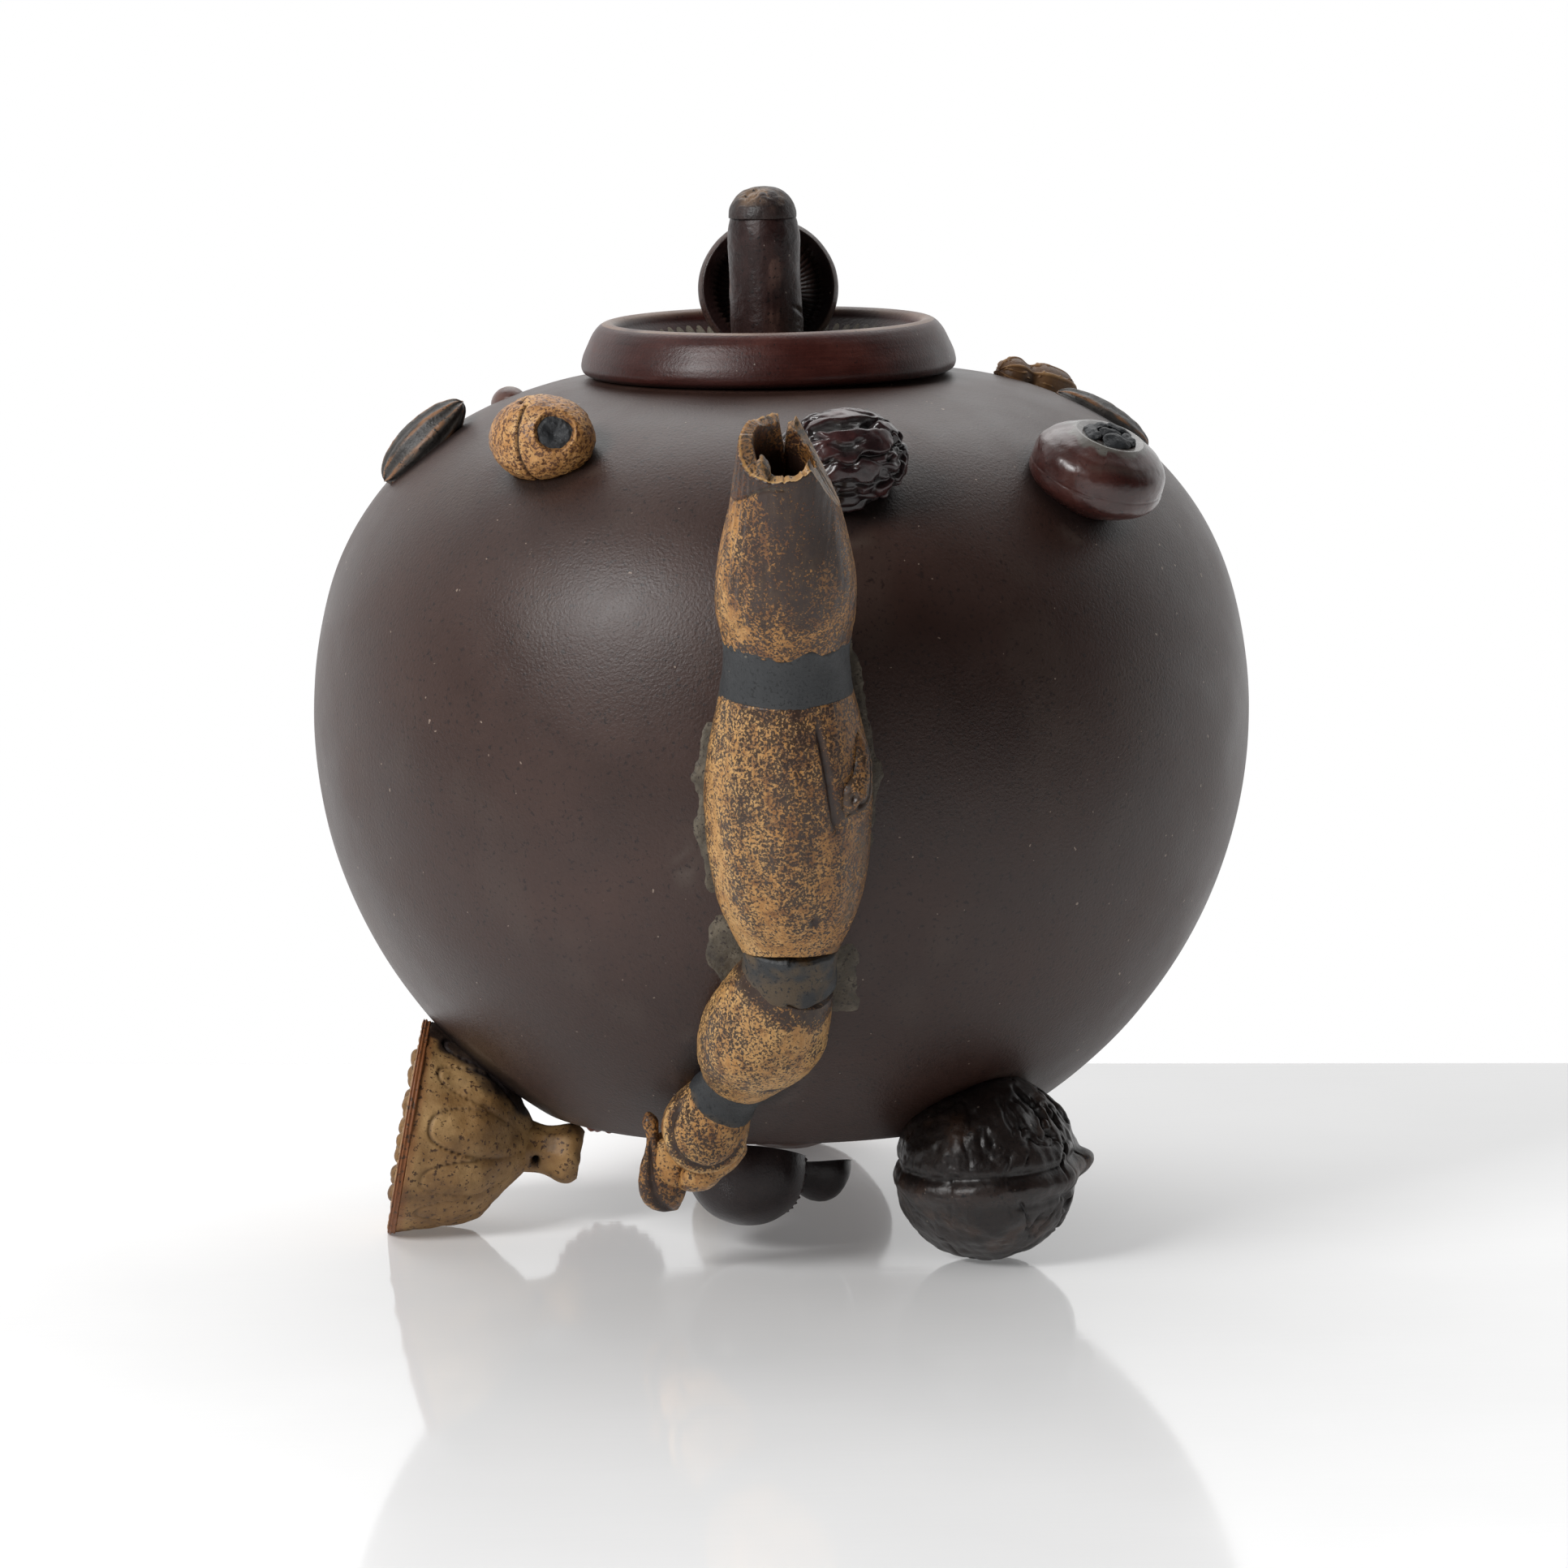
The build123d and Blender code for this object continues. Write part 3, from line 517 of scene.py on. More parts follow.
NUT = clay("nut_clay", (120, 98, 70), (172, 150, 112), (204, 186, 150), (112, 84, 60),
           mottle=2.6, rough=(0.42, 0.55), grain=0.4, extra=(96, 56, 34))
LID = clay("lid_clay", (36, 14, 12), (60, 25, 20), (84, 42, 34), (28, 13, 12), speck_share=0.2, specular=0.38,
           mottle=7.0, mottle_amount=0.4, rough=(0.34, 0.44), grain=0.40, extra=(132, 106, 88), coat=0.05,
           streak=((0.06, 0.06, 1.0), 0.22, 0.5), fleck_share=0.008)
GILL = clay("gill_clay", (52, 46, 38), (92, 84, 70), (132, 122, 104), (46, 40, 35), speck_share=0.3,
            mottle=2.0, rough=(0.55, 0.7), grain=0.5, groove=(30, 26, 24))
STEM = clay("stem_clay", (26, 14, 13), (44, 25, 23), (68, 44, 39), (22, 12, 12), speck_share=0.3,
            specular=0.38,
            mottle=3.0, mottle_amount=0.45, rough=(0.32, 0.46), grain=0.55, coat=0.05, fleck_share=0.012,
            streak=((1.0, 1.0, 0.12), 0.6, 0.3), extra=(112, 84, 74))
ROOT_END = clay("root_end_clay", (30, 19, 17), (54, 36, 32), (92, 70, 60), (30, 21, 19),
                speck_share=0.32, speck_size=0.5, mottle=1.6, mottle_amount=0.5, rough=(0.42, 0.58),
                grain=0.8,
                groove=(44, 30, 25), extra=(128, 100, 74))

# Belly

SPOUT_TOP = ((0.7, -63.1, 75.0), (0.6, -61.0, 69.8))
MOUTH_END = (0.7, -73.3, 100.4)
SPOUT_MID = ((0.5, -54.9, 39.4), (0.3, -53.2, 36.5))
SPOUT_LOW = ((-5.8, -43.4, 23.6), (-7.4, -41.4, 21.3))
WALNUT_AT = (22.7, -29.2, 10.75)
LOTUS_SEAT = seat(-130.6, 57.4, 2.6, 6)
JUJUBE_SEAT = seat(-81.1, 50.9, 3.4, 4)
CORM_SEAT = seat(-40.1, 44.5, 3.4)

# Centre and half width of what is luted on, for the ring darkened round it: partly the slip at the joint,
# partly painted contact shade
LUTED = [(LOTUS_SEAT[0], 6.3), (JUJUBE_SEAT[0], 7.6), (CORM_SEAT[0], 7.8), ((-40.0, -5.0, 92.5), 5.0),
         ((33.0, 10.5, 95.5), 4.5), ((38.0, 4.0, 93.0), 5.2), (WALNUT_AT, 9.5), ((0, 36, 12), 11.0),
         ((-36, -10, 16), 11.0), ((-4.8, -20, 11), 6.5), (SPOUT_LOW[0], 6.0)]


def arc(centre, radius, start, end, count):
    a = np.radians(np.linspace(start, end, count))
    return np.stack([centre[0] + radius * np.cos(a), centre[1] + radius * np.sin(a)], -1)


def rise_at(radius, inset):
    """Rise on the crown arc where it has come in to a radius."""
    return degrees(np.arccos((radius - CROWN_C[0]) / (CROWN_R - inset)))


# The seven strainer holes behind the spout
HOLE_R, HOLE_RING = 1.15, 2.9


def belly():
    """The paddled wall, its base, the seat for the lid and the hollow inside."""
    lowest = -degrees(np.arcsin((BODY_Z - BASE_Z) / BODY_R))
    inner_floor = BASE_Z + WALL
    inner_low = -degrees(np.arcsin((BODY_Z - inner_floor) / (BODY_R - WALL)))
    profile = np.concatenate([
        [(r, BASE_Z) for r in np.linspace(0.6, 29.8, 22)],
        arc(BODY_C, BODY_R, lowest, SHOULDER_FROM, 78)[:-1],
        arc(SHOULDER_C, SHOULDER_R, SHOULDER_FROM, CROWN_FROM, 30)[:-1],
        arc(CROWN_C, CROWN_R, CROWN_FROM, rise_at(SEAT_R + 0.2, 0), 20),
        [(SEAT_R - 0.2, SEAT_Z), (18.0, SEAT_Z), (MOUTH_R + 0.3, SEAT_Z), (MOUTH_R, SEAT_Z - 0.3),
         (MOUTH_R, 98.0), (MOUTH_R, SEAT_Z - COLLAR_DEPTH + 0.2), (MOUTH_R + 0.4, SEAT_Z - COLLAR_DEPTH)],
        arc(CROWN_C, CROWN_R - WALL, rise_at(SEAT_R + 0.5, WALL), CROWN_FROM, 10),
        arc(SHOULDER_C, SHOULDER_R - WALL, CROWN_FROM, SHOULDER_FROM, 16)[1:],
        arc(BODY_C, BODY_R - WALL, SHOULDER_FROM, inner_low, 44)[1:],
        [(r, inner_floor) for r in np.linspace(28.0, 0.6, 12)],
    ])
    m = 320
    a = np.radians(around(m))
    r, z = profile[:, :1], profile[:, 1:]
    shift = LID_X * (1 - step(SEAT_R, 30, r)) * (z > 85)
    p = np.stack([r * np.cos(a) + shift, r * np.sin(a), z + 0 * a], -1)
    gap, normal = skin_gap(p)
    outside = (np.abs(gap) < 0.3) & (r > SEAT_R + 1)
    sway = -0.12 + 0.06 * fbm(p, 34, 2, 5) + 0.04 * fbm(p, 9, 2, 6)
    p = p + normal * (sway * outside)[..., None]
    near = np.full(p.shape[:2], 99.0)
    for centre, half in LUTED:
        near = np.minimum(near, np.linalg.norm(p - np.asarray(centre), axis=-1) - half)
    # dark: ragged ring round each luted piece, partly the slip at the joint and partly painted contact shade
    dark = 0.75 * (1 - step(-0.5, 2.2, near + 0.5 * wave(p, 2.0, 9)))
    halo = bump(near, 1.7, 0.9) * step(-0.1, 0.6, wave(p, 3.0, 12)) * 0.30
    stain = step(0.2, 0.7, fbm(p, (9, 9, 13), 3, 21)) * 0.12
    off = np.linalg.norm((p - np.array([-10.8, -53.2, 50.0])) / np.array([1.9, 9, 3.2]), axis=-1)
    dust = bump(off, 0, 0.7)
    stain = stain + 0.55 * dust * step(-0.5, 0.3, wave(p, 0.9, 13))
    tone = 0.5 + 0.14 * fbm(p, 24, 3, 3) - 0.10 * step(30, 5, z - 14 + 0 * a)
    made = piece("belly", [(p, {"tone": tone, "dark": dark, "extra": clamp(halo + stain)})],
                 ["body_shell", "base_disc", "shoulder_disc", "mouth_collar"], BELLY)
    cut = bmesh.new()
    spots = ([(0, 0)] + [(HOLE_RING * cos(radians(60 * k)), HOLE_RING * sin(radians(60 * k)))
                         for k in range(6)])
    for dx, dz in spots:
        pin = bmesh.ops.create_cone(cut, cap_ends=True, segments=28, radius1=HOLE_R * MM, radius2=HOLE_R * MM,
                                    depth=14 * MM)["verts"]
        bmesh.ops.rotate(cut, verts=pin, matrix=Euler((pi / 2, 0, 0)).to_matrix())
        bmesh.ops.translate(cut, verts=pin, vec=Vector(((0.7 + dx) * MM, -53.5 * MM, (61.5 + dz) * MM)))
    cutter_mesh = bpy.data.meshes.new("strainer")
    cut.to_mesh(cutter_mesh)
    cut.free()
    cutter = bpy.data.objects.new("strainer", cutter_mesh)
    bpy.context.scene.collection.objects.link(cutter)
    change = made.modifiers.new("strainer", "BOOLEAN")
    change.operation, change.solver, change.object = "DIFFERENCE", "EXACT", cutter
    graph = bpy.context.evaluated_depsgraph_get()
    pierced = bpy.data.meshes.new_from_object(made.evaluated_get(graph))
    made.modifiers.clear()
    old = made.data
    made.data = pierced
    bpy.data.meshes.remove(old)
    pierced.name = "belly"
    bpy.data.objects.remove(cutter)
    bpy.data.meshes.remove(cutter_mesh)
    return made


belly()

# Spout

def raised(p):
    """Lifts the front of the spout round each tie, whose edges sit higher in front than behind."""
    up = 0.0
    for ends, rise, shift, reach in ((SPOUT_TOP, 2.1, 1.2, 6.0), (SPOUT_MID, 2.4, -1.2, 6.5),
                                     (SPOUT_LOW, 1.1, -0.5, 4.5)):
        middle = 0.5 * (np.asarray(ends[0]) + np.asarray(ends[1]))
        ahead = np.clip((middle[1] - p[..., 1]) / 11.0 + 0.65, 0.1, 1.2)
        up = up + rise * ahead * bump(p[..., 2], middle[2] + shift, reach)
    return p + up[..., None] * np.array([0, 0, 1.0])


# Parts of the spout tip's wall
WALL_OUT, CUT, BORE = range(3)


def spout_tip():
    """Top segment with its torn mouth: outer wall, sloping cut on the right, inner wall."""
    m = 320
    a = around(m)
    w = turn_gap(a, 0)
    start = np.asarray(SPOUT_TOP[0])
    run = 1.12 * (np.asarray(MOUTH_END) - start)
    length = np.linalg.norm(run)
    axis = run / length
    way = spokes(axis, a)
    barrel = lambda u: curve([0, 0.12, 0.25, 0.40, 0.58, 0.78, 0.9, 1],
                             [6.9, 7.45, 7.62, 7.15, 5.95, 5.0, 4.55, 4.4],
                             clamp(u / length))
    bore = lambda u: (3.3 + 0.9 * step(0.80, 0.45, u / length) + 0.95 * bump(w, 14, 48)
                      + 0.35 * bump(w, 180, 40))
    cuts = ((unit((-0.11, -0.65, 0.76)), np.array([-0.24, -76.7, 94.7])),
            (unit((2.08, -0.30, 1.0)), np.array([6.6, -71.5, 91.2])))

    def top_of(radius):
        """Lowest of the two cutting planes above each point of the wall."""
        tops = []
        for normal, at in cuts:
            u = np.full((1, m), 0.8 * length)
            for _ in range(12):
                u = (0.5 * u + 0.5 * (np.dot(at - start, normal) - radius(u) * (way @ normal))
                     / np.dot(axis, normal))
            tops.append(u)
        return np.minimum(*tops), tops[1] - tops[0]

    outer, by_cut = top_of(barrel)
    inner, _ = top_of(bore)
    bevel = step(0.4, -0.4, by_cut)
    rag = (0.14 * wave(np.stack([a / 8, 0 * a, 0 * a], -1), 1.0, 4)
           + 0.10 * wave(np.stack([a / 3, 0 * a, 0 * a], -1), 1.0, 7))
    left = 1.3 * bump(w, -105, 40) - 1.1 * step(120, 150, w)
    slit = 3.7 * clamp(1 - np.abs(turn_gap(a, 180)) / 6.0)
    outer = np.minimum(outer + left * (1 - bevel), 27.0) - slit + rag * (1 - bevel) - 0.1
    inner = np.minimum(inner + left, 26.9) - slit + rag - 0.1 + 0.5 * bump(w, 42, 8)
    rings = []
    for part in np.linspace(0, 1, 120):
        u = outer * part
        rings.append((u, barrel(u), WALL_OUT, 0.0))
    for part in np.linspace(0.06, 1, 16):
        rings.append((outer + (inner - outer) * part, barrel(outer) * (1 - part) + bore(inner) * part, CUT,
                      part))
    for part in np.linspace(0, 1, 50):
        u = (inner - 0.25) * (1 - part)
        rings.append((u, bore(u), BORE, 1.0))
    u, r = (np.concatenate([ring[k] for ring in rings]) for k in (0, 1))
    kind, across = (np.asarray([ring[k] for ring in rings])[:, None] for k in (2, 3))
    edge_line = step(0.30, 0.10, across)
    p = start + u[..., None] * axis + r[..., None] * way
    w = w + 0 * u
    seam = 19.3 + 3.4 * step(-85, -12, w)
    layer = step(-0.1, 0.15, u - seam) * bump(w, -50, 42) * (w < 6)
    crease = bump(u, seam, 0.18) * step(8, -2, w) * step(-120, -100, w)
    rough = 0.07 * fbm(p, (1.6, 1.6, 6), 3, 8) + 0.05 * wave(p, (0.8, 0.8, 5), 2)
    grooves = 0.07 * np.cos(np.radians(w * 34 + 60 * fbm(p, (4, 4, 9), 2, 11))) * bump(w, -62, 34)
    cut_grain = 0.10 * wave(np.stack([w / 3.0, u / 6, 0 * u], -1), 1.0, 3) + 0.05 * wave(p, 0.7, 6)
    move = np.where(kind == WALL_OUT, rough + grooves + 0.16 * layer - 0.22 * crease,
                    np.where(kind == CUT, cut_grain * bevel, -0.22 * ridges(p, 2.2, 3, 5)))
    p = p + way * move[..., None]
    depth = np.clip(inner - u, 0, None)

    def pick(wall, cut, inside):
        return np.where(kind == CUT, cut, np.where(kind == BORE, inside, wall))

    shade = (0.42 + 0.34 * bump(w, 8, 44) * step(3, 10, u) + 0.20 * step(9, 18, u) * bump(w, 20, 60)
             + 0.32 * fbm(p, (2.4, 2.4, 6), 3, 14)
             + 0.10 * bump(w, 75, 40) - 0.12 * bump(w, -66, 24) * (1 - layer))
    light = 0.46 + 0.08 * bump(w, -60, 30) - 0.08 * bump(w, 80, 40)
    shade = shade * (1 - layer) + (0.62 + 0.25 * fbm(p, 2.5, 3, 19)) * layer
    light = light - 0.40 * layer - 0.18 * step(14, 20, u) * bump(w, 10, 70)
    grey = 0.55 * crease * step(-0.4, 0.2, wave(p, 1.3, 18)) + 0.25 * bump(w, 84, 26) * step(17, 22, u)
    flank = bump(w, 60, 60)
    lip = 0.34 + 0.34 * bump(w, 20, 50) + 0.30 * edge_line
    lip_dark = 0.42 - 0.34 * bump(w, 20, 50) - 0.34 * edge_line
    torn = 0.50 - 0.3 * edge_line + 0.35 * wave(np.stack([w / 4, u / 5, 0 * u], -1), 1.0, 21)
    # Inside the bore the speckle share and tone darken with depth: painted shade down the tube.
    inside = 0.50 + 0.25 * fbm(p, 1.5, 2, 20) - 0.25 * flank + 0.9 * step(1.5, 6.5, depth)
    shade = pick(shade, lip_dark * (1 - bevel) + bevel * torn, inside)
    light = pick(light, lip * (1 - bevel) + (0.38 + 0.25 * edge_line) * bevel, 0.20 + 0.30 * flank
                 - 0.5 * step(2, 7, depth))
    grey = pick(grey, 0.24 + 0.24 * bevel, 0.0)
    # tone lowered deeper in the bore: painted shade
    bore_shade = np.where(kind == BORE, step(2.5, 8, depth), 0.0)
    fields = {"tone": light - 0.8 * bore_shade, "dark": clamp(shade), "extra": clamp(grey)}
    grids = [(raised(p), fields, True)]
    curl, _, _ = ellipsoid(1.35, 0.85, 0.42, 30, 60)
    curl = curl * (1 + 0.30 * fbm(curl + 40, 1.1, 3, 3))[..., None]
    curl = set_down(curl, plane((-1.35, -76.0, 96.5), (0.50, -0.25, -0.83), (0.75, -0.55, 0.35)))
    grids.append((curl, {"tone": 0.45, "dark": 0.40 + 0.3 * fbm(curl, 1.0, 2, 9), "extra": 0.40}))
    piece("spout_tip_torn", grids, ["spout_tip"], ROOT)


def segment(name, node, start, end, stops, radii, n, m, paint):
    """Closed lotus-root segment between two ties; paint gives its fields from axial share and angle."""
    a = around(m)
    t = np.linspace(0, 1, n)
    r = curve(stops, radii, t)[:, None] + 0 * a
    p = tube(line(start, end, n), FRONT, r)
    lift, fields = paint(p, t[:, None], -turn_gap(a, 0))
    p = bury(raised(swell(p, lift)))
    piece(name, [(p, fields)], [node], ROOT)


def paint_middle(p, t, w):
    ribs = 0.10 * np.cos(np.radians(w * 9 + 30 * fbm(p, 8, 2, 4))) * np.sin(pi * t) ** 0.5
    rough = 0.10 * fbm(p, (2, 2, 8), 3, 15) + 0.05 * fbm(p, 0.9, 2, 16)
    scar = bump(w - 24 - 24 * t, 0, 2.4) * step(0.02, 0.1, t) * (1 - step(0.36, 0.44, t))
    dot = bump(w, 21, 3.2) * bump(t, 0.78, 0.022)
    lift = ribs + rough - 0.45 * scar - 0.4 * dot
    dark = (0.50 + 0.16 * fbm(p, (2.6, 2.6, 9), 3, 17) + 0.06 * ribs / 0.1 - 0.10 * bump(w, -58, 20)
            + 0.20 * bump(w, 8, 24) * step(0.55, 0.1, t) - 0.16 * step(0.45, 0.9, t) + 0.6 * scar + 1.6 * dot)
    tone = 0.56 + 0.16 * bump(w, -50, 40) - 0.14 * bump(w, 70, 35)
    grey = 0.5 * bump(w, 64, 12) * step(0.35, 0.6, t) * step(-0.3, 0.4, wave(p, 3, 5))
    return lift, {"tone": tone + 0 * p[..., 0], "dark": clamp(dark), "extra": clamp(grey)}


def paint_lower(p, t, w):
    rough = 0.12 * fbm(p, 2.4, 3, 25) + 0.05 * fbm(p, 0.9, 2, 26)
    nick = bump(w, 40, 9) * bump(t, 0.74, 0.03)
    dark = 0.32 + 0.20 * fbm(p, 3.4, 3, 27) + 0.20 * bump(w, -40, 25) + 0.5 * step(0.16, 0.04, t) + nick
    tone = 0.72 + 0.14 * fbm(p, 5, 2, 28)
    return rough - 0.35 * nick, {"tone": tone, "dark": clamp(dark)}


def paint_end(p, t, w):
    """The last segment is a pad with an arched groove round its lower half."""
    ring = np.hypot((t - 0.18) / 0.48, (w - 5) / 62)
    groove = bump(ring, 1.0, 0.10) * step(0.15, 0.35, t)
    rim = bump(ring, 1.22, 0.14) * step(0.2, 0.4, t)
    rough = 0.10 * fbm(p, 1.8, 3, 35) + 0.04 * fbm(p, 0.7, 2, 36)
    dark = 0.40 + 0.20 * fbm(p, 2.2, 3, 37) + 0.6 * groove - 0.15 * rim
    tone = 0.62 + 0.26 * rim + 0.12 * fbm(p, 3, 2, 38)
    return rough - 0.42 * groove + 0.22 * rim - 0.1, {"tone": tone, "dark": clamp(dark)}


spout_tip()
segment("spout_middle_root", "spout_middle", SPOUT_TOP[1], SPOUT_MID[0], [0, 0.2, 0.42, 0.75, 1],
        [7.2, 8.8, 9.1, 7.8, 5.3], 200, 320, paint_middle)
segment("spout_lower_root", "spout_lower", SPOUT_MID[1], SPOUT_LOW[0], [0, 0.33, 0.66, 1],
        [5.2, 6.7, 6.7, 4.0], 110, 200, paint_lower)
segment("spout_end_root", "spout_end", SPOUT_LOW[1], (-11.9, -36.6, 13.6), [0, 0.4, 0.75, 1],
        [3.8, 4.9, 4.0, 1.6], 90, 160, paint_end)


def tie(name, node, ends, stops, radii, wavy, seed, bore=0.0, dusty=False):
    """Dark tie with ragged edges lapping over both neighbours."""
    n, m = 40, 200
    a = around(m)
    ragged = np.stack([a / 20, 0 * a, 0 * a], -1)
    low = stops[0] + wavy * wave(ragged, 1.0, seed)
    high = stops[-1] + wavy * 0.6 * wave(ragged, 1.0, seed + 1)
    t = np.linspace(0, 1, n)[:, None]
    share = low + (high - low) * t
    r = curve(stops, radii, np.clip(share, stops[0], stops[-1]))
    r = r - 0.35 * (1 - step(0, 0.08, np.minimum(t, 1 - t) + 0 * a))
    start, end = np.asarray(ends[1]), np.asarray(ends[0])
    axis = unit(end - start)
    way = spokes(axis, a)
    p = start + share[..., None] * (end - start) + r[..., None] * way
    p = bury(raised(p + way * (0.06 * fbm(p, 1.6, 3, seed))[..., None]))
    dust = step(0.1, 0.7, wave(p, 2.2, seed + 5)) * (1 - step(0.05, 0.4, t)) * 0.6
    if dusty:
        dust = np.clip(dust + 0.7 * step(-0.3, 0.4, fbm(p, 2.4, 3, 66)), 0, 0.8)
    fields = {"tone": 0.5 + 0.2 * fbm(p, 3, 2, seed), "extra": dust}
    if bore:
        inner = raised(start + share[::-1, :, None] * (end - start) + bore * way)
        p = np.concatenate([p, inner])
        fields = {k: np.concatenate([v, v[::-1]]) for k, v in fields.items()}
        piece(name, [(p, fields, True)], [node], BAND)
    else:
        piece(name, [(p, fields)], [node], BAND)


tie("spout_tie_top", "spout_band_top", SPOUT_TOP, [-0.30, 0, 0.5, 1, 1.14], [7.72, 7.30, 6.88, 6.96, 7.12],
    0.16, 50, 4.6)
tie("spout_tie_middle", "spout_band_middle", SPOUT_MID, [-0.3, 0, 0.5, 1, 1.3],
    [5.28, 5.36, 5.20, 5.32, 5.20], 0.14, 60,
    dusty=True)
tie("spout_tie_lower", "spout_band_lower", SPOUT_LOW, [-0.25, 0, 0.5, 1, 1.3], [3.9, 3.95, 3.74, 4.0, 4.0],
    0.12, 70)


def sheath():
    """Leaf sheath at the tail: a folded flap with a knob on top, curling to a point."""
    n, m = 110, 96
    t = np.linspace(0, 1, n)
    stops = [0, 0.12, 0.45, 0.8, 1]
    path = route(stops, ([-15.9, -15.6, -15.2, -14.0, -12.9], [-36.4, -36.9, -36.4, -35.2, -34.4],
                         [19.2, 17.8, 13.8, 9.4, 7.5]), t)
    r = curve([0, 0.05, 0.16, 0.5, 0.74, 0.92, 1], [0.30, 0.78, 0.80, 1.25, 1.75, 0.95, 0.12], t)[:, None]
    a = around(m)
    w = turn_gap(a, 0)
    wide = 1 + 0.55 * np.abs(np.sin(np.radians(w))) ** 2 * step(0.2, 0.6, t)[:, None]
    p = tube(path, FRONT, r * wide)
    fold = bump(w, 30, 14) * step(0.15, 0.4, t)[:, None] * (1 - step(0.85, 1.0, t)[:, None])
    p = swell(p, 0.10 * fbm(p, 1.5, 3, 41) - 0.40 * fold)
    dark = clamp(0.48 + 0.36 * fbm(p, 1.8, 3, 42) + 0.7 * fold)
    web_t = np.linspace(0, 1, 60)
    web_path = line((-13.6, -36.6, 16.4), (-12.9, -34.8, 9.6), 60)
    web_r = curve([0, 0.3, 0.75, 1], [1.6, 2.3, 2.0, 0.5], web_t)[:, None] + 0 * a
    web = tube(web_path, FRONT, web_r)
    web = swell(web, 0.12 * fbm(web, 1.6, 3, 43))
    web_dark = clamp(0.35 + 0.35 * fbm(web, 1.8, 3, 44))
    leaf_t = np.linspace(0, 1, 80)
    stops = [0, 0.22, 0.6, 1]
    leaf_path = route(stops, ([-5.7, -6.2, -9.2, -12.4], [-39.4, -39.2, -38.6, -36.8],
                              [17.6, 15.8, 13.0, 10.7]),
                      leaf_t)
    leaf_r = curve([0, 0.15, 0.5, 0.85, 1], [0.4, 1.25, 1.75, 1.5, 0.3], leaf_t)[:, None] + 0 * a
    leaf = tube(leaf_path, FRONT, leaf_r)
    leaf = swell(leaf, 0.16 * fbm(leaf, 1.5, 3, 48))
    leaf_fields = {"tone": 0.66, "dark": clamp(0.30 + 0.35 * fbm(leaf, 1.5, 3, 49))}
    piece("spout_sheath_leaf",
          [(bury(leaf), leaf_fields), (bury(p), {"tone": 0.38 + 0.2 * fbm(p, 2, 2, 45), "dark": dark}),
                                (bury(web), {"tone": 0.62, "dark": web_dark})],
          ["spout_sheath"], ROOT)


def leaf_scar():
    """Flap of leaf base on the right flank, its rim drawn out round two pin holes."""
    n, m = 90, 96
    t = np.linspace(0, 1, n)
    path = route([0, 0.5, 1], ([7.6, 8.3, 6.5], [-62.6, -63.4, -65.2], [67.0, 62.2, 57.4]), t)
    r = curve([0, 0.25, 0.6, 0.9, 1], [0.3, 1.15, 1.6, 1.6, 0.5], t)[:, None] + 0 * around(m)
    p = tube(path, (0.5, -0.86, 0), r)
    w = turn_gap(around(m), 0)
    pins = (bump(np.hypot((w + 18) / 10, (t[:, None] - 0.86) / 0.045), 0, 1)
            + bump(np.hypot((w - 22) / 10, (t[:, None] - 0.84) / 0.045), 0, 1))
    groove = bump(w + 60 - 40 * t[:, None], 0, 10)
    p = swell(p, 0.12 * fbm(p, 1.6, 3, 46) - 0.45 * clamp(pins) - 0.25 * groove)
    dark = clamp(0.5 + 0.3 * fbm(p, 2.2, 3, 47) + 0.5 * groove + pins)
    piece("spout_leaf_scar", [(bury(p), {"tone": 0.42, "dark": dark, "extra": 0.15})], ["spout_side_bud"],
          ROOT)


def smears():
    """Ragged grey slip left on the belly each side of the spout; it thins out under the skin at its edges."""
    grids = []
    for az, rise, wide, tall, seed in ((-78.5, 5, 17, 34, 81), (-101, -3, 15, 26, 82), (-84, -25, 13, 12, 83),
                                       (-96, -24, 12, 19, 84)):
        rises = np.radians(np.linspace(rise - tall / 2, rise + tall / 2, 200))[:, None]
        turns = np.radians(np.linspace(az - wide / 2, az + wide / 2, 150))[None, :]
        base = np.stack([BODY_R * np.cos(rises) * np.cos(turns), BODY_R * np.cos(rises) * np.sin(turns),
                         BODY_Z + BODY_R * np.sin(rises) + 0 * turns], -1)
        x, z = base[..., 0] - 0.5, base[..., 2]
        from_spout = np.abs(x) - np.interp(z, [28, 38, 48, 60, 68, 74], [6.0, 6.4, 8.6, 9.6, 8.4, 7.0])
        lobe = 1.9 * bump(z, 39.6, 3.4) * (x < 0) + 0.8 * bump(z, 31, 5) * (x > 0)
        edge = (0.60 + 0.40 * wave(base, 3.2, seed) + 0.28 * wave(base, 1.2, seed + 1)
                + 0.12 * wave(base, 0.6, seed + 7) + lobe)
        thick = 0.34 * step(edge + 0.45, edge - 0.45, from_spout) + 0.05 * fbm(base, 0.7, 3, seed + 2)
        u = np.linspace(-1, 1, 200)[:, None]
        v = np.linspace(-1, 1, 150)[None, :]
        frame_out = np.maximum(np.abs(u), np.abs(v)) ** 4
        thick = thick - 0.24 - 0.6 * frame_out
        normal = unit(base - np.array([0, 0, BODY_Z]))
        top = base + normal * thick[..., None]
        under = base - normal * 0.9
        shell = np.concatenate([top, under[:, ::-1]], 1)
        tone = 0.5 + 0.35 * fbm(top, 1.8, 3, seed + 3)
        grids.append((shell, {"tone": np.concatenate([tone, tone[:, ::-1]], 1)}))
    piece("spout_slip_smears", grids, ["spout_slip"], SLIP_CLAY)


sheath()
leaf_scar()
smears()

# Handle: a two-horned water caltrop


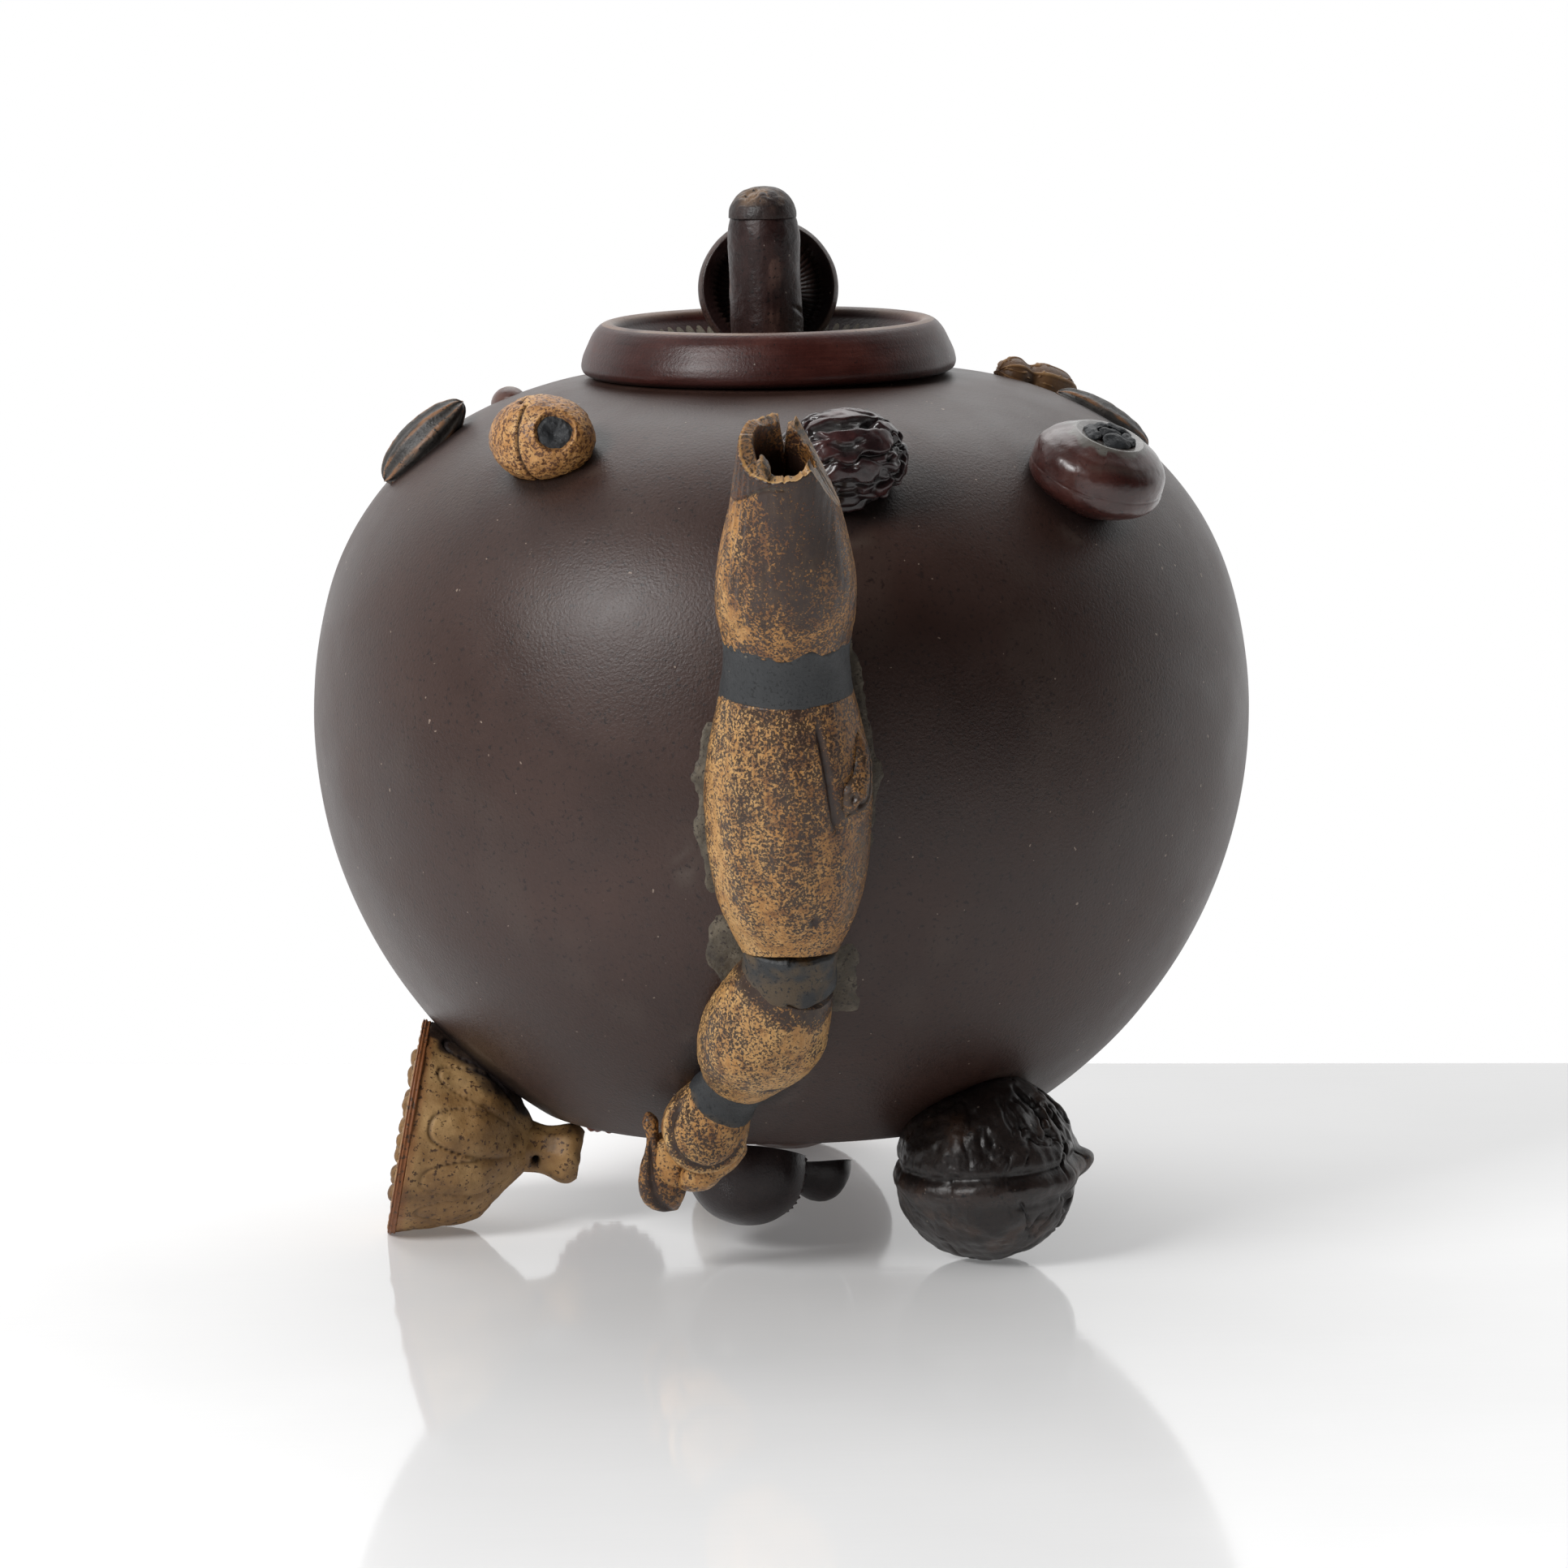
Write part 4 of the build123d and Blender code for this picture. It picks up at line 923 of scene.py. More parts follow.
HANDLE_LINE = np.array([(0, 46.3, 82.2), (0, 49.0, 84.4), (0, 57.0, 88.2), (0, 67.0, 86.6), (0, 73.4, 79.35),
                        (0, 73.5, 66.5), (0, 71.8, 53.1), (0, 65.2, 43.4), (0, 56.6, 38.4), (0, 47.6, 36.9)])
HANDLE_RADII = [6.0, 5.6, 4.3, 3.9, 4.25, 5.3, 4.2, 4.0, 4.3, 5.5]
HANDLE_STOPS = np.concatenate([[0], np.cumsum(np.linalg.norm(np.diff(HANDLE_LINE, axis=0), axis=1))])


def horn(name, node, first, last, ridge):
    """One length of the handle, between two points of its shared centre line."""
    n, m = 130, 144
    t = np.linspace(0, 1, n)
    at = HANDLE_STOPS[first] + (HANDLE_STOPS[last] - HANDLE_STOPS[first]) * t
    path = route(HANDLE_STOPS, HANDLE_LINE.T, at)
    a = around(m)
    w = turn_gap(a, 0)
    r = curve(HANDLE_STOPS, HANDLE_RADII, at)[:, None] + 0 * a
    p = tube(path, (1, 0, 0), r)
    keel = bump(np.abs(w), 90, 26) * ridge
    folds = 0.16 * np.cos(np.radians(w * 7 + 50 * fbm(p, 10, 2, 90)))
    lift = -0.35 + 0.35 * keel * np.sin(pi * t)[:, None] + folds + 0.14 * fbm(p, 2.4, 3, 91)
    p = bury(swell(p, np.minimum(lift, 0.12)))
    dark = np.clip(0.25 - folds * 2.2 + 0.3 * fbm(p, 3, 3, 92), 0, 0.8)
    piece(name, [(p, {"tone": 0.5 + 0.3 * fbm(p, 7, 3, 93) + 0.15 * keel, "dark": dark})], [node], CALTROP)


horn("handle_upper", "handle_upper_horn", 0, 4, 0.6)
horn("handle_middle", "handle_belly", 4, 6, 1.0)
horn("handle_lower", "handle_lower_horn", 6, 9, 0.6)

# Feet and ornaments under the belly


def stand(p):
    """Flattens what would reach below the table."""
    q = p.copy()
    q[..., 2] = np.maximum(q[..., 2], 0.0)
    return q


WALNUT_R, LYCHEE_R = 10.8, 6.9


def walnut():
    place = plane(WALNUT_AT, (1, 0, 0), (-0.06, -0.05, 1))
    ball, c, _ = ellipsoid(WALNUT_R, WALNUT_R, WALNUT_R, 200, 320)
    up = ball[..., 2] / WALNUT_R
    warp = ball + 2.2 * np.stack([fbm(ball, 6, 2, 101), fbm(ball, 6, 2, 102), 0 * up], -1)
    winding = ridges(warp, (3.2, 3.2, 13.0), 3, 103)
    edgeways = 0.30 + 0.70 * step(1.0, 7.0, ball[..., 0] + 2 * wave(ball, 6, 108))
    groove = step(0.60, 0.95, winding) * edgeways
    belt_at = 0.02 + 0.035 * wave(ball, 9, 109)
    belt = bump(up, belt_at - 0.05, 0.11)
    line_up = (0.7 * bump(up, belt_at + 0.115, 0.055) + 0.4 * bump(up, belt_at - 0.24, 0.05)
               * step(-2, 4, ball[..., 0]))
    knob = bump(np.hypot(c - 1, np.hypot(up - 0.03, ball[..., 1] / WALNUT_R)), 0.0, 0.17)
    lift = (-0.15 - 0.75 * groove * (1 - 0.8 * belt) + 0.60 * fbm(ball, 6.5, 2, 104) + 0.55 * belt
            - 0.60 * line_up)
    lift = lift + 1.5 * knob + 0.12 * fbm(ball, 1.2, 2, 106) + 0.22 * fbm(ball, 2.6, 2, 110)
    p = stand(bury(set_down(swell(ball, lift), place)))
    dark = clamp(0.80 * groove * (1 - belt) + 0.55 * line_up)
    worn = clamp(step(0.1, 0.6, fbm(ball, 3.5, 3, 107)) * 0.30 * (1 - groove))
    piece("walnut", [(p, {"tone": 0.45 + 0.25 * belt + 0.2 * knob, "dark": dark, "extra": worn})],
          ["walnut_foot", "walnut_seam"], WALNUT)


def chestnut():
    body, c, w = ellipsoid(12.6, 10.4, 10.4, 150, 220)
    tip = step(0.55, 1.0, c)
    body[..., 1:] *= (1 - 0.10 * tip + 0.05 * np.sin(pi * (c + 1) / 2))[..., None] * 0.99
    scar = step(-0.66, -0.72, c + 0.03 * wave(body, 3, 111))
    lines = 0.05 * np.cos(np.radians(w * 26 + 40 * fbm(body, 9, 2, 112))) * (1 - scar)
    lift = lines - 0.30 * scar + 0.08 * fbm(body, 2, 2, 113) * (1 + 2 * scar) - 0.25 * bump(c, -0.69, 0.03)
    p = set_down(swell(body, lift), plane((0, 36, 10.45), (1, 0, 0), (0, 0, 1)))
    dark = clamp(0.7 * bump(c, -0.69, 0.025) + 0.3 * step(0.9, 1, c))
    piece("chestnut", [(stand(bury(p)), {"tone": 0.5 + 0.25 * fbm(p, 8, 3, 114) - 0.2 * tip, "dark": dark,
                                         "extra": scar})],
          ["chestnut_foot"], CHESTNUT)


POD_STEM_END = np.array([-24.6, -8.0, 8.4])
POD_FACE_AT = np.array([-45.0, -8.2, 12.3])
POD_R = 12.7


# Seeds in the pod's face: distance from its middle, angle and number in their ring
POD_SEEDS = [(ring, radians(turn + 360 / count * j), j)
             for ring, count, turn in ((0.0, 1, 0), (3.9, 6, 10), (8.3, 12, 0)) for j in range(count)]


def pod():
    """Lotus pod lying on its side: scalloped cone, thin rim, seeded face and cut stem."""
    m = 320
    a = around(m)
    run = POD_FACE_AT - POD_STEM_END
    t = np.linspace(0.29, 0.955, 150)[:, None]
    r = curve([0.29, 0.36, 0.5, 0.7, 0.955], [2.9, 4.9, 9.0, 11.2, POD_R - 0.1], t[:, 0])[:, None] + 0 * a
    p = tube(line(POD_STEM_END + run * 0.29, POD_STEM_END + run * 0.955, 150), FRONT, r)
    petals = 12
    round_way = np.stack([np.cos(np.radians(a)), np.sin(np.radians(a)), 0 * a], -1)
    phase = np.radians(a * petals / 2 + 34 * wave(round_way, 0.55, 120))
    strong = 0.25 + 0.75 * step(-0.45, 0.35, wave(round_way, 0.4, 119))
    rib = np.abs(np.sin(phase))
    arch = 0.86 - 0.10 * (1 - rib) ** 1.5 * 3.0
    furrow = (1 - rib) ** 2.6 * step(0.34, 0.55, t) * (1 - step(arch - 0.02, arch + 0.02, t)) * strong
    scallop = bump(t, arch, 0.012) * step(0.08, 0.3, rib) * strong
    lift = -0.15 - 0.60 * furrow - 0.30 * scallop + 0.34 * fbm(p, 5, 3, 121) + 0.07 * fbm(p, 1.2, 2, 122)
    p = stand(bury(swell(p, lift)))
    blot = step(0.25, 0.65, fbm(p, 3.2, 3, 123)) * 0.55
    gap, _ = skin_gap(p)
    shade = 0.95 * (1 - step(0.8, 2.3, gap + 0.9 * wave(p, 1.6, 124)))
    dark = clamp(0.40 * furrow + 0.55 * scallop + blot * 0.5 + shade)
    cone = (p, {"tone": 0.5 + 0.30 * fbm(p, 5, 3, 125) + 0.1 * rib, "dark": dark,
                "extra": 0.55 * step(0.90, 0.95, t)})
    piece("pod_cone_scalloped", [cone], ["pod_cone"], POD)

    k = 70
    s = np.linspace(0, 1, k)[:, None]
    out = run / np.linalg.norm(run)
    depth = np.where(s < 0.16, 0.957 + 0.047 * np.sin(pi / 2 * s / 0.16), 1.004)
    radius = np.where(s < 0.16, POD_R - 0.15 + 0.18 * np.sin(pi * s / 0.16),
                      (POD_R - 0.15) * (1 - (s - 0.16) / 0.84 * 0.97))
    f = facing(out)
    way = spokes(out, a)
    disc = POD_STEM_END + depth[..., None] * run + radius[..., None] * way
    flat = np.stack([radius * np.cos(np.radians(a)), radius * np.sin(np.radians(a)), 0 * radius * a], -1)
    face = step(0.14, 0.18, s)
    spots = 0 * radius * a
    for ring, at, _ in POD_SEEDS:
        away = np.hypot(flat[..., 0] - ring * cos(at), flat[..., 1] - ring * sin(at))
        spots = np.maximum(spots, bump(away, 1.35, 0.28))
    beads = 0.20 * np.maximum(0, np.cos(np.radians(a * 36))) * bump(radius, POD_R - 0.7, 0.5)
    wrinkle = 0.20 * ridges(flat + 50, 2.2, 3, 126) * face
    disc = disc + out * (0.26 * spots + beads * face + wrinkle - 0.22 * face)[..., None]
    layered = 0.10 * np.sin(s * 120) * (1 - face)
    disc = stand(bury(disc + way * (layered + 0.12 * fbm(disc, 1.5, 3, 127) * (1 - face))[..., None]))
    piece("pod_disc_face",
          [(disc, {"tone": 0.35 + 0.2 * face + 0.2 * spots, "dark": clamp(0.6 * wrinkle * 3 * face - 0.2),
                                   "extra": 0.75 * (1 - face) + 0.1})], ["pod_disc"], POD)

    grids = []
    for ring, at, j in POD_SEEDS:
        centre = POD_STEM_END + run * 1.002 + ring * (cos(at) * f + sin(at) * np.cross(out, f))
        nut, c, _ = ellipsoid(0.75, 1.05, 1.05, 14, 28)
        nut = set_down(swell(nut, 0.08 * fbm(nut + 9 * j + ring, 0.8, 2, 128)), plane(centre, out, f))
        grids.append((stand(nut), {"tone": 0.35, "dark": 0.25 * step(0.8, 1.0, c)}))
    piece("pod_seed_tips", grids, ["pod_seeds"], POD)

    n = 80
    t = np.linspace(0, 1, n)
    r = curve([0, 0.04, 0.5, 1], [2.8, 3.1, 2.95, 3.2], t)[:, None] + 0 * a[:, ::3]
    stem = tube(line(POD_STEM_END, POD_STEM_END + run * 0.33, n), FRONT, r)
    w3 = turn_gap(a[:, ::3], 0)
    hole = bump(np.hypot((t[:, None] - 0.74) / 0.075, (w3 + 22) / 17), 0, 1.0)
    ribs = 0.08 * np.cos(np.radians(w3 * 8))
    stem = bury(swell(stem, ribs - 1.6 * hole ** 2 + 0.12 * fbm(stem, 2, 3, 129)))
    # the stem's hole is a dent painted dark: painted shade standing in for its depth
    dark = clamp(hole * 1.4 + 0.3 * step(0.1, 0.6, fbm(stem, 2, 3, 130)))
    piece("pod_stem_cut", [(stem, {"tone": 0.55 + 0 * stem[..., 0], "dark": dark})], ["pod_stem"], POD)


def mushroom():
    at = np.array([-4.8, -20.0, 9.6])
    out = unit((0.80, 0.55, -0.12))
    edge = 4.0
    angle = np.radians(np.linspace(178, 56.8, 110))
    x = np.concatenate([7.25 * np.cos(angle), np.linspace(edge + 0.02, edge - 0.9, 40)])
    r = np.concatenate([7.25 * np.sin(angle), np.linspace(6.05, 2.0, 40)])
    m = 260
    a = np.radians(around(m))
    way = spokes(out, around(m))
    p = at + x[:, None, None] * out + r[:, None, None] * way
    under = step(edge - 0.6, edge, x)[:, None] * (np.arange(150)[:, None] >= 110)
    gills = 0.22 * np.cos(a * 40) * under
    lift = 0.10 * fbm(p, 5, 3, 131) * (1 - under) + gills - 0.05
    p = bury(swell(p, lift))
    # tone raised along the cap's rim: a painted highlight line
    fields = {"tone": 0.5 + 0.2 * fbm(p, 6, 3, 132) + 0.3 * bump(x, edge - 0.1, 0.25)[:, None] * (1 - under),
              "dark": 0.6 * under * step(0, 0.2, -gills)}
    piece("mushroom_cap_round", [(p, fields)], ["mushroom_cap"], MUSHROOM)
    n = 60
    t = np.linspace(0, 1, n)
    r = curve([0, 0.4, 0.94, 1], [3.1, 3.2, 3.9, 3.3], t)[:, None] + 0 * a[:, ::2]
    stem = tube(line(at + out * (edge - 1.2), at + out * (edge + 8.4), n), FRONT, r)
    stem = bury(swell(stem, 0.08 * fbm(stem, (2, 2, 2), 3, 133)))
    # the stem's tone, lower than the cap's, is painted shade under the belly
    piece("mushroom_stem_round", [(stem, {"tone": 0.3 + 0.2 * fbm(stem, 4, 2, 134)})], ["mushroom_stem"],
          MUSHROOM)


def lychee():
    ball, _, _ = ellipsoid(LYCHEE_R, LYCHEE_R, LYCHEE_R, 120, 200)
    cells = np.full(ball.shape[:2], 9.0)
    count = 150
    for k in range(count):
        h = 1 - 2 * (k + 0.5) / count
        turn = k * 2.399963
        spot = LYCHEE_R * np.array([np.sqrt(1 - h * h) * cos(turn), np.sqrt(1 - h * h) * sin(turn), h])
        cells = np.minimum(cells, np.linalg.norm(ball - spot, axis=-1))
    knobs = 1 - step(0.0, 0.95, cells)
    p = set_down(swell(ball, 0.42 * knobs - 0.30 + 0.06 * fbm(ball, 1.5, 2, 140)),
                 plane((-22, 18, 12.6), (1, 0, 0), (0, 0, 1)))
    piece("lychee_fruit", [(bury(p), {"tone": 0.3 + 0.5 * knobs, "dark": 0.5 * (1 - step(0.0, 0.3, knobs))})],
          ["lychee"], LYCHEE)


walnut()
chestnut()
pod()
mushroom()
lychee()

# Fruits and seeds on the shoulder


LOTUS_A, LOTUS_B = 6.55, 4.95


def lotus_seed():
    at_x, at_turn = 4.55, -40.0
    body, _, w = ellipsoid(LOTUS_A, LOTUS_B, LOTUS_B, 240, 340)
    x = body[..., 0]
    ring = LOTUS_B * np.sqrt(1 - (at_x / LOTUS_A) ** 2)
    hub = np.array([at_x, ring * sin(radians(at_turn)), ring * cos(radians(at_turn))])
    away = np.linalg.norm((body - hub) * np.array([0.95, 1, 1]), axis=-1) + 0.16 * wave(body, 1.1, 149)
    hollow = step(2.45, 1.95, away)
    groove = bump(x + 0.9 - 1.1 * step(10, 80, w), 0.0, 0.21) * step(-112, -88, w)
    arc_line = bump(np.hypot(x + 1.9, (w + 50) / 17) - 2.0, 0, 0.10) * (x < -1.7)
    scratch = bump(x + 0.055 * (w + 88), 0, 0.07) * bump(w, -100, 26)
    pit = bump(np.hypot(x - 0.75, (w + 12) / 14), 0, 0.36)
    lift = (-0.40 * groove - 0.14 * arc_line - 0.10 * scratch - 0.25 * pit - 1.6 * hollow
            + 0.12 * fbm(body, 1.5, 3, 150) + 0.05 * fbm(body, 0.5, 2, 151) - 0.04)
    p = bury(set_down(swell(body, lift), LOTUS_SEAT))
    dark = clamp(0.95 * groove + 0.65 * arc_line + 0.5 * scratch + 0.7 * pit + 0.9 * hollow)
    tone = 0.5 + 0.22 * fbm(body, 2.5, 3, 152) - 0.16 * step(-1, -6, x)
    pale = 0.5 * bump(np.hypot(x - 0.9, (w + 45) / 24), 0, 1.3)
    piece("lotus_seed_kernel", [(p, {"tone": tone, "dark": dark, "extra": clamp(pale)})], ["lotus_seed"],
          LOTUS_SEED)
    tip, _, _ = ellipsoid(LOTUS_A, LOTUS_B, LOTUS_B, 140, 200)
    away = np.linalg.norm(tip - hub, axis=-1)
    lift = -0.62 - 0.75 * bump(away, 0, 1.4) + 0.12 * fbm(tip, 0.7, 3, 153)
    q = bury(set_down(swell(tip, lift), LOTUS_SEAT))
    glint = step(0.1, 0.6, fbm(tip, 0.5, 2, 155)) * bump(away, 0.3, 1.0)
    piece("lotus_seed_dark_end",
          [(q, {"tone": 0.45 + 0.3 * fbm(tip, 1.3, 2, 154) + 0.5 * glint, "dark": 0.1})],
          ["lotus_seed_tip"], BLACK)


def jujube():
    body, c, w = ellipsoid(7.9, 5.85, 5.85, 190, 300)
    warp = body + 1.3 * np.stack([fbm(body, 4, 2, 160), fbm(body, 4, 2, 161), fbm(body, 4, 2, 162)], -1)
    fold = ridges(warp, (9.0, 2.4, 2.4), 2, 163)
    crease = step(0.40, 0.88, fold)
    dent = step(0.0, 0.5, fbm(body, (3.2, 1.5, 1.5), 2, 164))
    smooth_side = step(-62, -84, w)
    rough = 1 - 0.75 * smooth_side
    scar = bump(c - 1, 0, 0.05)
    lift = 0.05 - rough * (0.75 * crease + 0.60 * dent) + 0.07 * fbm(body, 1.0, 2, 165) - 0.9 * scar
    p = bury(set_down(swell(body, lift), JUJUBE_SEAT))
    ridge = (1 - crease) * (1 - dent) * rough
    red = clamp(0.45 * ridge + 0.35 * smooth_side + 0.25 * fbm(body, 2.4, 3, 166))
    glint = step(0.35, 0.8, fbm(body, 0.45, 2, 168)) * dent * rough * 0.5
    piece("jujube_fruit", [(p, {"tone": 0.22 + 0.85 * red, "dark": clamp(0.30 * crease * rough + scar),
                                "extra": clamp(0.35 * dent * rough + glint)})],
          ["jujube"], JUJUBE)
    stub, _, _ = ellipsoid(0.85, 1.5, 1.5, 30, 60)
    ring = np.hypot(stub[..., 1], stub[..., 2])
    stub[..., 0] += 7.05 - 0.45 * bump(ring, 0, 0.55)
    stub = swell(stub, 0.14 * fbm(stub, 0.8, 3, 167))
    piece("jujube_scar",
          [(bury(set_down(stub, JUJUBE_SEAT)), {"tone": 0.25, "dark": 0.5 * bump(ring, 0, 0.6)})],
          ["jujube_stem_scar"], JUJUBE)


CORM_AXIS = unit((0.30, -0.26, 0.92))


def water_chestnut():
    """Flattened corm with a ring line and torn grey leaf scales in its crown."""
    m = 300
    a = around(m)
    h = np.concatenate([np.linspace(-5.0, 4.1, 150), np.linspace(4.1, 3.3, 30)])[:, None]
    r = curve([-5.0, -2.7, -0.4, 2.2, 4.2], [3.0, 7.0, 7.65, 6.85, 3.9], h[:150, 0])
    r = np.concatenate([r, np.linspace(r[-1] - 0.1, 0.3, 30)])[:, None] + 0 * a
    f = facing(CORM_AXIS)
    way = spokes(CORM_AXIS, a)
    p = CORM_SEAT[0] + h[..., None] * CORM_AXIS + r[..., None] * way
    top = np.zeros((180, 1))
    top[150:] = 1
    level = h + 0.25 * wave(np.stack([a / 60, 0 * a, 0 * a], -1), 1.0, 170)
    line_up = bump(level, -0.7, 0.16) * (1 - top)
    ledge = bump(level, 2.9, 0.35) * (1 - top)
    lift = 0.18 * fbm(p, 6, 2, 171) + 0.06 * fbm(p, 1.5, 3, 172) - 0.05 * line_up + 0.10 * ledge
    p = bury(p + way * lift[..., None])
    scale = clamp(step(3.45, 3.95, level + 0.35 * wave(p, 1.1, 173)) + 0.22 * bump(level, 2.6, 0.5)
                  * step(-0.2, 0.5, wave(p, 1.6, 178)))
    dark = clamp(0.12 * line_up + 0.4 * top * step(0, 0.5, fbm(p, 1.5, 2, 174)))
    piece("water_chestnut_corm",
          [(p, {"tone": 0.5 + 0.25 * fbm(p, 5, 3, 175), "dark": dark, "extra": 0.85 * scale})],
          ["water_chestnut"], WATER)
    grids = []
    top_at = CORM_SEAT[0] + CORM_AXIS * 4.1
    side = np.cross(CORM_AXIS, f)
    for k, (turn, far, size) in enumerate(((20, 2.3, 1.5), (95, 2.2, 1.3), (160, 2.4, 1.4), (235, 2.0, 1.5),
                                           (300, 2.4, 1.2), (0, 0.2, 1.2))):
        at = radians(turn)
        flake, _, _ = ellipsoid(size * 1.15, size * 0.75, 0.42, 22, 40)
        flake = swell(flake, 0.30 * fbm(flake + 13 * k, 0.9, 3, 176))
        x = -sin(at) * f + cos(at) * side
        lean = unit(CORM_AXIS + 0.5 * (cos(at) * f + sin(at) * side))
        flake = set_down(flake, plane(top_at + far * (cos(at) * f + sin(at) * side) + 0.05 * CORM_AXIS, x,
                                      lean))
        grids.append((flake, {"tone": 0.55 + 0.3 * fbm(flake, 0.8, 2, 177), "dark": 0.2}))
    piece("water_chestnut_scales", grids, ["water_chestnut_sprout"], BLACK)


def kernel(a, b, c, place, paint, n=90, m=140, taper=0.0):
    """A seed shaped as an ellipsoid, carved and painted by paint(local, axial cosine, angle)."""
    body, along_x, w = ellipsoid(a, b, c, n, m)
    body[..., 1:] *= (1 - taper * (along_x + 1) / 2)[..., None]
    lift, fields = paint(body, along_x, turn_gap(w, 0))
    return bury(set_down(swell(body, lift), place)), fields


def paint_stripes(count, seed):
    def paint(body, c, w):
        stripe = 0.5 + 0.5 * np.cos(np.radians(w * count) + 0.8 * fbm(body, (5, 1.5, 1.5), 2, seed))
        edge = bump(np.abs(w), 90, 14)
        lift = 0.16 * stripe - 0.12 + 0.06 * fbm(body, 1.0, 3, seed + 1) + 0.18 * edge
        buff = step(0.62, 0.95, stripe) * step(-0.5, 0.4, fbm(body, (2.5, 0.8, 0.8), 3, seed + 2))
        return (lift, {"tone": 0.42 + 0.3 * fbm(body, 2, 3, seed + 3), "dark": 0.55 * step(0.5, 0.1, stripe),
                       "extra": 0.75 * buff})
    return paint


def paint_bean(body, c, w):
    eye = bump(np.hypot(c / 0.35, (w - 30) / 22), 0, 1)
    return 0.03 * fbm(body, 1, 2, 190), {"tone": 0.5 + 0.2 * fbm(body, 1.5, 2, 191), "extra": eye}


def paint_net(size, depth, seed):
    def paint(body, c, w):
        rib = ridges(body, size, 2, seed)
        lines = 0.5 + 0.5 * np.cos(np.radians(w * 7))
        net = np.maximum(step(0.72, 0.95, rib), 0.8 * step(0.8, 1, lines))
        return (depth * net - depth * 0.6, {"tone": 0.35 + 0.35 * net + 0.2 * fbm(body, 3, 2, seed + 1),
                                            "dark": 0.5 * (1 - net)})
    return paint


def paint_ginkgo(body, c, w):
    keel = bump(np.abs(w), 90, 7) * (1 - step(0.9, 1, np.abs(c)))
    return (0.14 * keel + 0.05 * fbm(body, 2, 3, 200) - 0.1,
            {"tone": 0.55 + 0.25 * fbm(body, 3, 3, 201), "dark": 0.25 * bump(np.abs(w), 90, 3)})


def paint_hazel(body, c, w):
    scar = step(-0.70, -0.76, c + 0.02 * wave(body, 2, 210))
    lines = 0.5 + 0.5 * np.cos(np.radians(w * 18) + 1.5 * fbm(body, 4, 2, 211))
    return (0.05 * lines - 0.2 * scar - 0.06 + 0.05 * fbm(body, 2, 2, 212),
            {"tone": 0.45 + 0.2 * lines + 0.2 * scar, "extra": (1 - scar) * (0.75 + 0.2 * lines),
             "dark": 0.6 * bump(c, -0.73, 0.02)})


def paint_melon(body, c, w):
    rim = bump(np.abs(w), 90, 22)
    return (0.16 * rim - 0.08 + 0.03 * fbm(body, 1, 2, 220), {"tone": 0.25 + 0.3 * rim, "dark": 0.15 + 0 * w,
                                                              "extra": 0.25 * rim})


def shoulder_seeds():
    stripy = plane((-41.0, -4.9, 92.7), (0.72, 0.05, 0.69), (-0.68, -0.15, 0.71))
    piece("sunflower_husk", [kernel(6.4, 3.3, 2.9, stripy, paint_stripes(9, 180), 110, 220, 0.12)],
          ["sunflower_seed"], SEED)
    piece("striped_husk", [kernel(6.3, 2.6, 2.1, seat(6.0, 58.0, -0.5, 92), paint_stripes(7, 184), 110, 200)],
          ["striped_seed"], SEED)
    piece("red_bean_pressed", [kernel(3.0, 2.1, 2.1, seat(167.0, 68.0, -0.9, 30), paint_bean)], ["red_bean"],
          BEAN)
    place = seat(18.0, 68.5, 0.0, -76)
    grids = []
    t = np.linspace(-1, 1, 120)
    r = 2.75 - 0.75 * bump(t, -0.30, 0.22) - 0.25 * bump(t, -0.7, 0.4) + 0.05 * t
    r = r * np.sqrt(np.clip(1 - np.abs(t) ** 5, 0.0004, 1))
    a = around(200)
    shell = np.stack([5.55 * t[:, None] - 0.15 + 0 * a, r[:, None] * np.sin(np.radians(a)),
                      r[:, None] * np.cos(np.radians(a))], -1)
    lift, fields = paint_net((2.4, 1.3, 1.3), 0.22, 195)(shell, t[:, None] + 0 * a, turn_gap(a, 0)
                                                         + 0 * t[:, None])
    p = bury(set_down(swell(shell, lift), place))
    piece("peanut_shell", [(p, fields)], ["peanut"], PEANUT)
    piece("ginkgo_shell", [kernel(6.15, 4.35, 4.3, seat(122.0, 45.0, 2.0, 115), paint_ginkgo, 110, 180, 0.10)],
          ["ginkgo_nut"], NUT)
    nut_place = seat(64.0, 42.0, 2.6)
    up = plane(nut_place[0], nut_place[3], nut_place[1])
    piece("hazel_shell", [kernel(5.55, 5.5, 5.5, up, paint_hazel, 130, 220)], ["hazelnut"], NUT)
    for azimuth, turn in ((88.0, 20), (97.0, 75), (105.0, 140)):
        grids.append(kernel(4.2, 1.75, 1.6, seat(azimuth, 60.0, 0.3, turn), paint_melon, 60, 90, 0.25))
    piece("melon_seed_trio", grids, ["melon_seeds"], SEED)


lotus_seed()
jujube()
water_chestnut()
shoulder_seeds()

# Lid: an upturned mushroom whose stem is the knob

KNOB_X, KNOB_TOP_Z = -1.2, 121.4
GILL_FINS = 74


def turned(profile, x, m):
    profile = np.asarray(profile, float)
    a = np.radians(around(m))
    return np.stack([x + profile[:, :1] * np.cos(a), profile[:, :1] * np.sin(a), profile[:, 1:] + 0 * a], -1)


def spline_points(points, count):
    points = np.asarray(points, float)
    stops = np.concatenate([[0], np.cumsum(np.linalg.norm(np.diff(points, axis=0), axis=1))])
    at = np.linspace(0, stops[-1], count)
    return route(stops, points.T, at)


def straight_runs(points, count):
    """Straight runs between points, divided evenly."""
    made = []
    for a, b in zip(points[:-1], points[1:]):
        made.extend(np.asarray(a) + (np.asarray(b, float) - a) * t
                    for t in np.linspace(0, 1, count, endpoint=False))
    made.append(np.asarray(points[-1], float))
    return np.asarray(made)


DISH = [(17.7, 104.9), (16.6, 103.5), (15.2, 102.0), (13.4, 100.9), (11.0, 100.1), (8.0, 100.1), (4.0, 100.1)]


